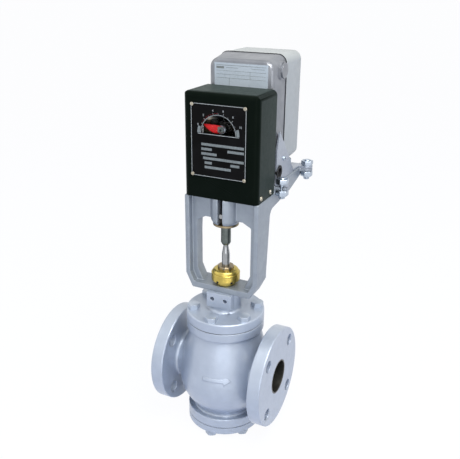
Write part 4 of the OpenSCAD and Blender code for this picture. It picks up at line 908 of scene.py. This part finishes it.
RINGS = ring_recipe()
THREADS = thread_recipe()
GROOVES = groove_recipe()
TICKS = tick_recipe()


def placed(x: float, y: float, z: float, facing: Facing = Facing.UP) -> Matrix:
    """Matrix that turns a shape made along Z and sets it at a place in mm."""
    return Matrix.Translation(at(x, y, z)) @ facing.value


def round_frame(name: str, middle: tuple[float, float], half: tuple[float, float],
                section: Sequence[tuple[float, float]], steps: int) -> bpy.types.Object:
    """Closed band that runs round a rectangle with round corners and faces the front.

    Args:
        name: Name of the object.
        middle: X and z of its middle in mm.
        half: X and z from the middle to the corners' centres in mm.
        section: Y and corner radius of each edge of the band in mm.
        steps: Number of steps round a corner.

    Returns:
        The band.
    """
    rings = []
    for y, radius in section:
        ring = []
        for right, top, start in ((1, 1, 0), (-1, 1, 90), (-1, -1, 180), (1, -1, 270)):
            for angle in (math.radians(start + 90 * i / steps) for i in range(steps + 1)):
                ring.append(at(middle[0] + right * half[0] + radius * math.cos(angle), y,
                               middle[1] + top * half[1] + radius * math.sin(angle)))
        rings.append(ring)
    return SHOP.loft(name, rings, True)


def on_both_sides(x: float, *spots: tuple[float, float]) -> list[Matrix]:
    """Places on the left and then the right side that look outward.

    Args:
        x: Distance from the stem axis in mm.
        spots: Y and z of each place in mm.

    Returns:
        The places' matrices.
    """
    return [placed(side * x, y, z, facing) for side, facing in ((-1, Facing.LEFT), (1, Facing.RIGHT))
            for y, z in spots]


@dataclass(frozen=True)
class HexHead:
    """Head of a hexagon bolt with its corners turned off."""

    flats: float
    height: float
    steps: int = 48
    round_share: float = 0.97
    slope: float = 0.55

    def build(self, name: str) -> bpy.types.Object:
        """Makes the head about its own origin.

        Args:
            name: Name of the object.

        Returns:
            The head, its seat at height 0.
        """
        inner = self.flats / 2 * self.round_share
        rings = ([], [], [])
        for i in range(self.steps):
            angle = 2 * math.pi * i / self.steps
            side = self.flats / 2 / math.cos(angle % (math.pi / 3) - math.pi / 6)
            drop = (side - inner) * self.slope
            for ring, radius, z in zip(rings, (side, side, inner), (0, self.height - drop, self.height)):
                ring.append(Vector((radius * math.cos(angle), radius * math.sin(angle), z)) * MM)
        return SHOP.loft(name, rings)


@dataclass(frozen=True)
class SlottedHead:
    """Round screw head with one slot or a cross."""

    diameter: float
    height: float
    slot_width: float
    cross: bool = False

    def build(self, name: str, turn: float = 0.3) -> bpy.types.Object:
        """Makes the head about its own origin.

        Args:
            name: Name of the object.
            turn: Angle of the slot.

        Returns:
            The head, its seat at height 0.
        """
        r, h = self.diameter / 2, self.height
        dome = [(r, 0), (r, h * 0.45), (r * 0.93, h * 0.72), (r * 0.75, h * 0.92), (r * 0.4, h)]
        head = SHOP.turned(name, dome)
        for i in range(2 if self.cross else 1):
            reach, half = r * (0.62 if self.cross else 1.2), self.slot_width / 2
            tool = SHOP.block("slot tool", (-reach, -half, 0.5 * h), (reach, half, 1.5 * h))
            tool.data.transform(Matrix.Rotation(turn + i * math.pi / 2, 4, "Z"))
            cut = head.modifiers.new("slot", "BOOLEAN")
            cut.object = tool
            cut.solver = "EXACT"
            SHOP.settle(head)
            bpy.data.objects.remove(tool)
        return head

    def row(self, name: str, places: Sequence[Matrix]) -> bpy.types.Object:
        """Heads at several places, each slot turned a little otherwise.

        Args:
            name: Name of the object.
            places: Place and turn of each head.

        Returns:
            All heads as one object.
        """
        heads = []
        for i, place in enumerate(places):
            head = self.build(f"{name} {i}", 0.4 + 1.3 * i)
            head.data.transform(place)
            heads.append(head)
        return SHOP.join(name, heads)


@dataclass
class ValveBody:
    """Globe body with its two pipe flanges, its covers and a raised flow arrow."""

    ball_r: float = 71.5
    ball_z: float = -11.0
    arrow_length: float = 46.0
    arrow_width: float = 15.0
    arrow_rise: float = 1.0
    arrow_azimuth: float = -1.32
    arrow_height: float = 0.3
    arrow_root: float = -1.0
    shoulder: tuple[tuple[float, float], ...] = (
        (52.0, 66.6), (55.45, 66.6), (56.4, 62.0), (57.9, 56.0), (60.0, 48.0), (62.1, 40.0), (64.1, 32.0),
        (65.9, 24.0), (67.5, 16.0), (68.6, 10.0), (69.6, 5.3), (66.0, 2.0), (60.0, 20.0), (51.0, 38.0))

    def build(self) -> None:
        """Dresses the castings and adds the arrow."""
        ring = SHOP.turned("shoulder", self.shoulder, 96, True)
        ring.data.transform(placed(0, 0, 0))
        SHOP.dress("valve_body", BODY_SILVER, added=ring)
        for node in ("bonnet", "bottom_cover"):
            SHOP.dress(node, COVER_SILVER, edge=0.7)
        self.flow_arrow()

    def arrow_stations(self) -> list[tuple[float, float]]:
        """Distances along the arrow with its half width there, in mm.

        Returns:
            Pairs from the tail to the point.
        """
        half, wide, shaft = self.arrow_length / 2, self.arrow_width / 2, self.arrow_width / 5
        neck = half - self.arrow_width * 0.8
        tail = [(-half + (neck + half) * i / 10, shaft) for i in range(11)]
        point = [(neck + (half - neck) * i / 6, wide * (1 - i / 6) + 0.4) for i in range(1, 7)]
        return [*tail, (neck + 0.2, wide), *point]

    def flow_arrow(self) -> bpy.types.Object:
        """Cast arrow that lies on the ball and points along the flow.

        Returns:
            The arrow.
        """
        shares = (-1, -0.5, 0, 0.5, 1)
        rings = []
        for along, half_width in self.arrow_stations():
            azimuth = self.arrow_azimuth + along / self.ball_r
            ring = []
            for rise, row in ((self.arrow_root, shares), (self.arrow_rise, shares[::-1])):
                for share in row:
                    tilt = self.arrow_height + half_width * share / self.ball_r
                    level = (self.ball_r + rise) * math.cos(tilt)
                    ring.append(at(level * math.cos(azimuth), level * math.sin(azimuth),
                                   self.ball_z + (self.ball_r + rise) * math.sin(tilt)))
            rings.append(ring)
        return SHOP.hand_over(SHOP.loft("flow_arrow", rings), SILVER)


@dataclass
class CoverBolts:
    """Painted hexagon bolts of the bonnet and the bottom cover."""

    count: int = 6
    flats: float = 17.0
    head: float = 7.0
    washer: float = 7.99
    shank: float = 5.0
    bonnet_top: float = 100.8
    bottom_face: float = -96.7

    def build(self) -> None:
        """Sets both circles of bolts, each along its node's own axis."""
        for node, seat, facing in (("bonnet_bolts", self.bonnet_top, Facing.UP),
                                   ("bottom_bolts", self.bottom_face, Facing.DOWN)):
            low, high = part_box(node)
            radius = (high.y - low.y) / 2 - self.flats / math.sqrt(3) * MM
            length = (high.z - low.z) / MM - self.head
            head = HexHead(self.flats, self.head).build("bolt head")
            washer = SHOP.turned("bolt washer", [(self.washer, -0.02), (self.washer, 0.5)])
            shank = SHOP.turned("bolt shank", [(self.shank, -length), (self.shank, 0.1)], 24)
            bolt = SHOP.join("bolt", [head, washer, shank])
            bolt.data.transform(Matrix.Rotation(math.pi / 6, 4, "Z"))
            circle = {"Count": self.count, "Radius": radius, "Start": -math.pi / 2, "Spin": math.pi / 2}
            ring = RINGS.grow(f"{node}_dressed", BOLT_SILVER, placed(0, 0, seat, facing), bolt, **circle)
            bpy.data.objects.remove(bolt)
            SHOP.hand_over(ring, BOLT_SILVER, (node,))


@dataclass
class PackingGland:
    """Brass packing nut with the collar of its clamp nut, grooves, spanner holes whose insides are black
    discs of painted shade, and bronze wiper ring whose slots are dark blocks of painted shade.
    """

    nut_r: float = 21.6
    nut_low: float = 148.3
    shoulder_z: float = 160.6
    nut_top: float = 166.6
    neck_r: float = 13.4
    bore_r: float = 10.4
    lip: float = 0.5
    collar_r: float = 15.2
    collar_low: float = 142.0
    collar_step: float = 1.2
    groove_z: float = 151.6
    groove_pitch: float = 1.5
    grooves: int = 5
    land: float = 0.3
    land_sunk: float = 0.55
    hole_z: float = 150.2
    hole_count: int = 6
    hole_sunk: float = 0.75
    notch_count: int = 8
    notch_sunk: float = 0.3
    wiper_r: float = 12.0
    wiper_z: float = 167.5

    def build(self) -> None:
        """Builds the domed nut, its lands and the painted shade of its holes and slots, and dresses its
        neighbours.
        """
        nut = SHOP.turned("packing_nut_dressed", self.nut_outline(), 96, True)
        nut.data.transform(placed(0, 0, 0))
        SHOP.settle(nut)
        SHOP.hand_over(nut, BRASS, ("packing_nut", "clamp_nut"))
        SHOP.dress("wiper_ring", BRONZE)
        sizes = {"Count": self.grooves, "Pitch": self.groove_pitch * MM, "Land": self.land * MM,
                 "Radius": (self.nut_r - self.land_sunk) * MM}
        lands = GROOVES.grow("packing_nut_lands", BRASS, placed(0, 0, self.groove_z), **sizes)
        SHOP.hand_over(lands, BRASS)
        # painted shade: black rubber discs stand for the dark insides of the spanner holes
        hole_shade = SHOP.turned("spanner hole", [(2.0, -0.5), (2.0, 0.3), (1.6, 0.34)], 20)
        hole_shade.data.transform(Facing.RIGHT.value)
        circle = {"Count": self.hole_count, "Radius": (self.nut_r - self.hole_sunk) * MM, "Start": 0.35}
        self.round_the_stem("packing_nut_holes", RUBBER, hole_shade, self.hole_z, circle)
        # painted shade: dark steel blocks stand for the shade in the wiper ring's slots
        notch = SHOP.block("notch", (-0.6, -1.1, 0), (0.5, 1.1, 3))
        circle = {"Count": self.notch_count, "Radius": (self.wiper_r - self.notch_sunk) * MM, "Start": 0.2}
        self.round_the_stem("wiper_ring_slots", DARK_STEEL, notch, self.wiper_z, circle)

    def nut_outline(self) -> list[tuple[float, float]]:
        """Section of the nut: a collar below, a straight band with a lip at its top, and a dome.

        Returns:
            Radius and height pairs in mm.
        """
        foot, top, lip = self.nut_low, self.shoulder_z, self.lip
        step = self.collar_r - self.collar_step
        dome_r, dome_z = self.nut_r - 1.6 - self.neck_r, top + 0.6
        dome = [(self.neck_r + dome_r * math.cos(a) ** 0.8, dome_z + (self.nut_top - dome_z) * math.sin(a))
                for a in (math.radians(11.25 * i) for i in range(9))]
        collar = [(self.bore_r, self.collar_low), (self.collar_r - lip, self.collar_low),
                  (self.collar_r, self.collar_low + lip), (self.collar_r, foot - 1.4), (step, foot - 1.2),
                  (step, foot)]
        band = [(self.nut_r - 2 * lip, foot), (self.nut_r - lip, foot + lip), (self.nut_r - lip, top - 1.3),
                (self.nut_r, top - 1.1), (self.nut_r, top - 0.3), (self.nut_r - 0.4, top + 0.2),
                (self.nut_r - 1.5, top + 0.3)]
        return [*collar, *band, *dome, (self.bore_r, self.nut_top)]

    def round_the_stem(self, name: str, finish: Finish, shape: bpy.types.Object, z: float,
                       circle: dict[str, float]) -> None:
        """Sets a small shape round the stem and uses it up.

        Args:
            name: Name of the piece.
            finish: Its finish.
            shape: Shape that is repeated.
            z: Height in mm.
            circle: Count, radius and first angle of the ring recipe.
        """
        ring = RINGS.grow(name, finish, placed(0, 0, z), shape, Spin=0.0, **circle)
        bpy.data.objects.remove(shape)
        SHOP.hand_over(ring, finish)


@dataclass
class YokeFrame:
    """Cast yoke with the bronze ring below its boss."""

    edge: float = 1.4

    def build(self) -> None:
        """Dresses the casting and its ring."""
        SHOP.dress("yoke", YOKE_GREY, edge=self.edge)
        SHOP.dress("boss_ring", BRONZE, edge=0.4)


@dataclass
class RackLift:
    """Rod, rack, pinion, pointer and bracket that lift the stem."""

    pinion_x: float = -2.5
    pinion_z: float = 378.0
    pointer_outline: tuple[tuple[float, float], ...] = (
        (-28.6, 384.4), (-28.9, 383.2), (-23.5, 378.6), (-14.5, 373.4), (-7.0, 373.2), (1.2, 374.4),
        (1.2, 382.4), (-7.0, 384.3))
    pointer_front: float = -13.2
    pointer_thick: float = 1.2
    nut_width: float = 8.4
    nut_thick: float = 1.3
    nut_rise: float = 0.6

    def build(self) -> None:
        """Dresses the moving pieces and those that guide them."""
        # rack and pinion take steel darkened as painted shade
        for node, finish, body, edge in (
                ("valve_stem", STEEL, Body.LIFTER, 0.3), ("lifter_rod", DARK_STEEL, Body.LIFTER, 0.3),
                ("guide_pin", STEEL, Body.LIFTER, 0.6), ("crosshead", DARK_STEEL, Body.LIFTER, 0.4),
                ("crosshead_nut", ZINC, Body.LIFTER, 0.4), ("rack", SHADED_STEEL, Body.LIFTER, 0.15),
                ("rack_screw", ZINC, Body.LIFTER, 0.3), ("pinion", SHADED_STEEL, Body.SPINDLE, 0.15),
                ("pointer_hub", ZINC, Body.SPINDLE, 0.3)):
            SHOP.dress(node, finish, body, edge)
        self.pointer()
        # bracket coloured black as painted shade
        SHOP.dress("bearing_bracket", BRACKET_SHADE_BLACK, edge=0.5)
        SHOP.dress("bracket_screws", ZINC, edge=0.4)

    def pointer(self) -> None:
        """Red pointer with its square nut, in front of the spindle's end; a black disc on the nut is painted
        shade for its bore.
        """
        red = SHOP.slab("pointer_dressed", self.pointer_outline, self.pointer_front, self.pointer_thick)
        SHOP.hand_over(red, RED, ("pointer",), Body.SPINDLE)
        half = self.nut_width / 2
        ring = [(self.pinion_x + x * half, self.pinion_z + self.nut_rise + z * half) for x, z in
                ((-0.9, -1), (0.9, -1), (1, -0.9), (1, 0.9), (0.9, 1), (-0.9, 1), (-1, 0.9), (-1, -0.9))]
        nut = SHOP.slab("pointer_nut", ring, self.pointer_front - self.nut_thick, self.nut_thick)
        SHOP.hand_over(nut, DARK_STEEL, body=Body.SPINDLE)
        # painted shade: a black rubber disc stands for the dark inside of the nut's bore
        nut_bore_shade = SHOP.turned("pointer_nut_bore", [(1.7, 0), (1.7, 0.15), (1.2, 0.25)], 24)
        place = placed(self.pinion_x, self.pointer_front - self.nut_thick, self.pinion_z, Facing.FRONT)
        nut_bore_shade.data.transform(place)
        SHOP.hand_over(nut_bore_shade, RUBBER, body=Body.SPINDLE)


@dataclass
class LinkageCover:
    """Black cover over the rack lift with its side screws."""

    edge: float = 0.9
    screw_x: float = 57.0
    screw_y: tuple[float, float] = (-7.9, 25.8)
    screw_z: float = 286.9

    def build(self) -> None:
        """Dresses the cover and sets its slotted screws."""
        SHOP.dress("linkage_cover", COVER_BLACK, edge=self.edge)
        head = SlottedHead(7.0, 2.2, 1.2)
        places = on_both_sides(self.screw_x, *((y, self.screw_z) for y in self.screw_y))
        SHOP.hand_over(head.row("cover_screws_dressed", places), NICKEL, ("cover_screws",))


@dataclass
class Dial:
    """Black dial plate with its print, numbers, half-round rim and screws."""

    centre_x: float = -2.5
    centre_z: float = 373.5
    half_width: float = 42.25
    low: float = 311.3
    high: float = 414.5
    front: float = -21.3
    window_r: float = 26.0
    corner: float = 3.0
    film: float = 0.12
    bars: tuple[tuple[float, float, float], ...] = (
        (-28.3, 36.2, 358.0), (-28.3, -12.2, 351.4), (11.7, 36.2, 351.4), (-28.3, -4.7, 344.8),
        (-25.6, 36.2, 338.6), (-23.3, -12.2, 332.2), (16.4, 29.8, 332.2), (-23.3, 17.0, 325.8))
    bar_height: float = 3.6
    numbers: tuple[tuple[str, float, float], ...] = (
        ("0", -33.1, 384.8), ("2", -24.8, 398.1), ("4", -10.5, 405.4), ("6", 4.9, 405.8), ("8", 19.6, 399.0),
        ("10", 30.5, 386.4))
    number_size: float = 4.2
    screw_inset: float = 2.5
    frame_inset: float = 0.9
    frame_width: float = 0.7

    def build(self) -> None:
        """Dresses the plate and lays its print."""
        SHOP.dress("dial_plate", DIAL_BLACK, edge=0.2)
        corners = [(self.centre_x + side * (self.half_width - self.screw_inset), z) for side in (-1, 1)
                   for z in (self.low + self.screw_inset, self.high - self.screw_inset)]
        head = SlottedHead(5.2, 1.1, 0.8, True)
        screws = head.row("dial_screws_dressed", [placed(x, self.front, z, Facing.FRONT) for x, z in corners])
        SHOP.hand_over(screws, NICKEL, ("dial_screws",))
        light = [self.border(), self.arc(self.window_r + 0.2, 0.6, 0, 180), self.rule(), self.strokes()]
        light += [self.number(*entry) for entry in self.numbers]
        SHOP.hand_over(SHOP.join("dial_lines", light), PRINT_LIGHT)
        grey = [self.box(x0, x1, z - self.bar_height / 2, z + self.bar_height / 2) for x0, x1, z in self.bars]
        grey += [self.arc(self.window_r + 1.6, 4.2, start, start + 18) for start in (0, 162)]
        SHOP.hand_over(SHOP.join("dial_fields", grey), PRINT_GREY)
        dots = [self.arc(self.window_r + 2.2, 0.7, start, start + 3) for start in range(92, 150, 7)]
        SHOP.hand_over(SHOP.join("dial_red_marks", dots), DOT_RED)

    def box(self, x0: float, x1: float, z0: float, z1: float) -> bpy.types.Object:
        """Printed field between four edges."""
        return SHOP.slab("field", [(x0, z0), (x1, z0), (x1, z1), (x0, z1)], self.front - self.film, self.film)

    def arc(self, radius: float, width: float, start: float, stop: float) -> bpy.types.Object:
        """Printed arc about the window's centre.

        Args:
            radius: Inner radius in mm.
            width: Width in mm.
            start: First angle in degrees.
            stop: Last angle in degrees.

        Returns:
            The arc as a thin slab.
        """
        steps = max(2, int((stop - start) / 4))
        angles = [math.radians(start + (stop - start) * i / steps) for i in range(steps + 1)]
        outline = [(self.centre_x + r * math.cos(a), self.centre_z + r * math.sin(a))
                   for r, row in ((radius + width, angles), (radius, angles[::-1])) for a in row]
        return SHOP.slab("arc", outline, self.front - self.film, self.film)

    def rule(self) -> bpy.types.Object:
        """Light line below the half-round window.

        Returns:
            The line.
        """
        reach = self.window_r + 5
        x, z = self.centre_x, self.centre_z
        return self.box(x - reach, x + reach, z - 1.4, z - 0.7)

    def border(self) -> bpy.types.Object:
        """Thin light frame with round corners near the plate's edge.

        Returns:
            The frame.
        """
        inset, inner = self.frame_inset + self.corner, self.corner - self.frame_width
        half = (self.half_width - inset, (self.high - self.low) / 2 - inset)
        face = self.front - self.film
        section = ((face, self.corner), (face, inner), (self.front, inner), (self.front, self.corner))
        return round_frame("border", (self.centre_x, (self.low + self.high) / 2), half, section, 6)

    def strokes(self) -> bpy.types.Object:
        """Graduation above the window, its eleven strokes shared out over 156 degrees.

        Returns:
            The strokes as one object.
        """
        place = placed(self.centre_x, self.front - self.film / 2, self.centre_z, Facing.FRONT)
        return TICKS.grow("strokes", PRINT_LIGHT, place, Count=11, Radius=(self.window_r + 1.4) * MM,
                          Start=math.radians(12), Sweep=math.radians(156), Long=2.6 * MM, Short=1.4 * MM,
                          Width=0.4 * MM, Depth=self.film * MM)

    def number(self, text: str, x: float, z: float) -> bpy.types.Object:
        """Plain number of the graduation.

        Args:
            text: Digits.
            x: Middle of the number in mm.
            z: Middle of the number in mm.

        Returns:
            The number as a mesh on the plate.
        """
        curve = bpy.data.curves.new("number", "FONT")
        curve.body = text
        curve.size = self.number_size * MM
        curve.extrude = self.film / 2 * MM
        curve.align_x = curve.align_y = "CENTER"
        letter = SHOP.link("number", curve)
        mesh = bpy.data.meshes.new_from_object(letter.evaluated_get(bpy.context.evaluated_depsgraph_get()))
        bpy.data.objects.remove(letter)
        mesh.transform(placed(x, self.front - self.film / 2, z, Facing.FRONT))
        return SHOP.link("number", mesh)


@dataclass
class MotorMount:
    """Plate, studs, nuts and spacers that carry the control motor."""

    stud_r: float = 5.0
    stud_x: float = 67.0
    stud_y: tuple[float, float] = (48.0, 156.0)
    stud_low: float = 272.0
    stud_high: float = 303.7
    pitch: float = 1.5
    ridge: float = 0.4
    screw_sunk: float = 2.2

    def build(self) -> None:
        """Dresses the plate and its nuts and builds the studs and the gussets' screws."""
        for node, finish, edge in (("mounting_plate", PLATE_GREY, 0.5), ("motor_spacers", ZINC, 0.4),
                                   ("mounting_washers", ZINC, 0.3), ("cable_grommet", RUBBER, 0.6),
                                   ("mounting_nuts", ZINC, 0.6)):
            SHOP.dress(node, finish, edge=edge)
        self.studs()
        low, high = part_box("gusset_screws")
        middle = (low + high) / 2
        head = SlottedHead((high.z - low.z) / MM, 2.4, 1.4, True)
        x = (high.x - AXIS_X) / MM - self.screw_sunk
        places = on_both_sides(x, (middle.y / MM, middle.z / MM))
        SHOP.hand_over(head.row("gusset_screws_dressed", places), ZINC, ("gusset_screws",))

    def studs(self) -> bpy.types.Object:
        """Threaded studs with chamfered ends.

        Returns:
            All studs as one piece.
        """
        parts = []
        r, length = self.stud_r, self.stud_high - self.stud_low
        for side in (-1, 1):
            for y in self.stud_y:
                x = side * self.stud_x
                ends = [(r - 1, 0), (r - 0.3, 0.8), (r - 0.3, length - 0.8), (r - 1, length)]
                core = SHOP.turned("core", ends, 24)
                core.data.transform(placed(x, y, self.stud_low))
                thread = THREADS.grow("thread", ZINC, placed(x, y, self.stud_low + 1),
                                      Radius=(r - self.ridge) * MM, Pitch=self.pitch * MM,
                                      Turns=(length - 2) / self.pitch, Ridge=self.ridge * MM)
                parts += [core, thread]
        return SHOP.hand_over(SHOP.join("mounting_studs_dressed", parts), ZINC, ("mounting_studs",))


@dataclass
class ControlMotor:
    """Two-part motor housing with its plug, label plate and screws."""

    half_width: float = 52.0
    seam: float = 85.0
    low: float = 308.0
    high: float = 471.0
    screw_x: float = 38.0
    screw_z: tuple[float, float] = (326.0, 453.0)
    back: float = 155.0
    corner: float = 13.0
    strip_half: float = 0.7
    strip_sunk: float = 1.0
    strip_proud: float = 0.8
    label_half: float = 41.0
    label_top: float = 460.0
    label_front: float = 44.4
    film: float = 0.1

    def build(self) -> None:
        """Dresses the housing and adds its screws and blank label print."""
        SHOP.dress("front_housing", DIE_CAST, whole=False)
        SHOP.dress("rear_cover", PALE, whole=False)
        SHOP.dress("conduit_plug", DIE_CAST, edge=0.5)
        SHOP.dress("label_plate", LABEL)
        self.label_fields()
        self.seam_strip()
        head = SlottedHead(8.0, 2.2, 1.4)
        places = [placed(side * self.screw_x, self.back, z, Facing.BACK)
                  for side in (-1, 1) for z in self.screw_z]
        SHOP.hand_over(head.row("housing_screws_dressed", places), ZINC, ("housing_screws",))

    def seam_strip(self) -> bpy.types.Object:
        """Dark strip that shows in the joint of the housing's two halves.

        Returns:
            The strip.
        """
        half = (self.half_width - self.corner, (self.high - self.low) / 2 - self.corner)
        front, back = self.seam - self.strip_half, self.seam + self.strip_half
        inner, outer = self.corner - self.strip_sunk, self.corner + self.strip_proud
        section = ((front, inner), (front, outer), (back, outer), (back, inner))
        strip = round_frame("housing_seam", (0, (self.low + self.high) / 2), half, section, 8)
        return SHOP.hand_over(strip, RUBBER)

    def label_fields(self) -> bpy.types.Object:
        """Blank printed fields on the label: a head bar, rules and two boxes, with no words.

        Returns:
            The fields as one piece.
        """
        x0, x1, top = -self.label_half + 3, self.label_half - 3, self.label_top - 3
        boxes = [(x0, x1, top - 0.5, top), (x0, x0 + 12, top - 5, top - 2)]
        boxes += [(x0 + 15, x0 + 34, top - 3.6, top - 3.1), (x1 - 22, x1 - 2, top - 3.6, top - 3.1)]
        boxes += [(x0, x1, top - row, top - row + 0.35) for row in (8, 13, 18, 34)]
        boxes += [(x1 - 24, x1 - 23.6, top - 18, top - 8), (x0 + 20, x0 + 20.4, top - 34, top - 18)]
        parts = [SHOP.slab("rule", [(a, c), (b, c), (b, d), (a, d)], self.label_front - self.film, self.film)
                 for a, b, c, d in boxes]
        return SHOP.hand_over(SHOP.join("label_rules", parts), PRINT_GREY)


@dataclass
class Studio:
    """Camera, floor, world and lamps."""

    camera: Place = (373.1, -773.2, 575.1)
    yaw: float = 25.37
    pitch: float = 22.01
    roll: float = -0.49
    focal_px: float = 631.7
    width_px: float = 460.0
    sensor_mm: float = 36.0
    far: float = 300.0
    floor_size: float = 120.0
    floor_drop: float = 0.0005
    floor_tone: Colour = (0.55, 0.64, 0.95)
    floor_shade: Colour = (0.53, 0.62, 0.93)
    floor_glow: float = 1.03
    floor_white: float = 0.93
    ambient: float = 0.5
    ambient_tone: Colour = (0.9, 0.95, 1.0)
    aim: Place = (0, 0, 180)
    soft_boxes: tuple[tuple[str, Place, float, float, Colour], ...] = (
        ("key", (450, -350, 1200), 0.8, 16, (1, 1, 1)),
        ("left", (-1000, -500, 600), 0.9, 1.5, (0.95, 0.98, 1)),
        ("front", (500, -1300, 250), 1.1, 6, (0.95, 0.97, 1)))

    def build(self) -> None:
        """Sets up the picture."""
        self.look()
        self.ground()
        self.sky()
        self.lamps()
        bpy.context.scene.view_settings.view_transform = "Standard"

    def look(self) -> None:
        """Camera at the photograph's angle."""
        yaw, pitch, roll = (math.radians(a) for a in (self.yaw, self.pitch, self.roll))
        ahead = Vector((-math.sin(yaw) * math.cos(pitch), math.cos(yaw) * math.cos(pitch), -math.sin(pitch)))
        right = Vector((math.cos(yaw), math.sin(yaw), 0))
        down = ahead.cross(right)
        across = math.cos(roll) * right + math.sin(roll) * down
        lower = -math.sin(roll) * right + math.cos(roll) * down
        lens = bpy.data.cameras.new("camera")
        lens.sensor_fit = "HORIZONTAL"
        lens.sensor_width = self.sensor_mm
        lens.lens = self.focal_px / self.width_px * self.sensor_mm
        lens.clip_end = self.far
        eye = SHOP.link("camera", lens)
        turn = Matrix((across, -lower, -ahead)).transposed().to_4x4()
        eye.matrix_world = Matrix.Translation(at(*self.camera)) @ turn
        bpy.context.scene.camera = eye

    def ground(self) -> None:
        """Pale floor below the bottom bolts, which keeps the shadow."""
        half, z = self.floor_size / 2, CAD_LOW.z - self.floor_drop
        corners = [(x * half + AXIS_X, y * half, z) for x, y in ((-1, -1), (1, -1), (1, 1), (-1, 1))]
        mesh = bpy.data.meshes.new("floor")
        mesh.from_pydata(corners, [], [(0, 1, 2, 3)])
        floor = SHOP.link("floor", mesh)
        mat = Shader("pale floor")
        mat.constants(Roughness=0.9)
        mat.blotches(900, self.floor_tone, self.floor_shade)
        glow = mat.node("ShaderNodeEmission", {"Color": (1, 1, 1, 1), "Strength": self.floor_glow})
        share = mat.math("MULTIPLY", mat.seen_white(), self.floor_white)
        mat.end_with("Material Output", mat.surface.outputs[0], glow.outputs[0], share)
        mesh.materials.append(mat.material)

    def sky(self) -> None:
        """World that is white to look at and soft grey as light."""
        world = bpy.data.worlds.new("world")
        world.use_nodes = True
        bpy.context.scene.world = world
        lit = world.node_tree.nodes["Background"]
        lit.inputs["Color"].default_value = (*self.ambient_tone, 1)
        lit.inputs["Strength"].default_value = self.ambient
        tree = Nodes(world.node_tree)
        white = tree.node("ShaderNodeBackground", {"Color": (1, 1, 1, 1)})
        tree.end_with("World Output", lit.outputs[0], white.outputs[0], tree.seen_white())

    def lamps(self) -> None:
        """Soft boxes: key from above on the right, one from the left and a weak one in front."""
        for name, place, size, power, tone in self.soft_boxes:
            light = bpy.data.lights.new(name, "AREA")
            light.size = size
            light.energy = power
            light.color = tone
            lamp = SHOP.link(name, light)
            lamp.location = at(*place)
            lamp.rotation_euler = (at(*self.aim) - lamp.location).to_track_quat("-Z", "Y").to_euler()


def dress_bare_nodes() -> None:
    """Gives the nodes that keep their own mesh a finish each."""
    for finish, names in BARE_NODES.items():
        for name in names:
            mesh = frame["nodes"][name].data
            mesh.materials.clear()
            mesh.materials.append(SHOP.material(finish))


def main() -> None:
    """Builds every sub-assembly in order and reports each."""
    logging.basicConfig(level=logging.INFO, format="%(name)s: %(message)s")
    dress_bare_nodes()
    groups = (Studio(), ValveBody(), CoverBolts(), PackingGland(), YokeFrame(), RackLift(), LinkageCover(),
              Dial(), MotorMount(), ControlMotor())
    for group in groups:
        before = len(bpy.data.objects)
        group.build()
        LOG.info("%s: %d objects", type(group).__name__, len(bpy.data.objects) - before)


if __name__ == "__main__":
    main()
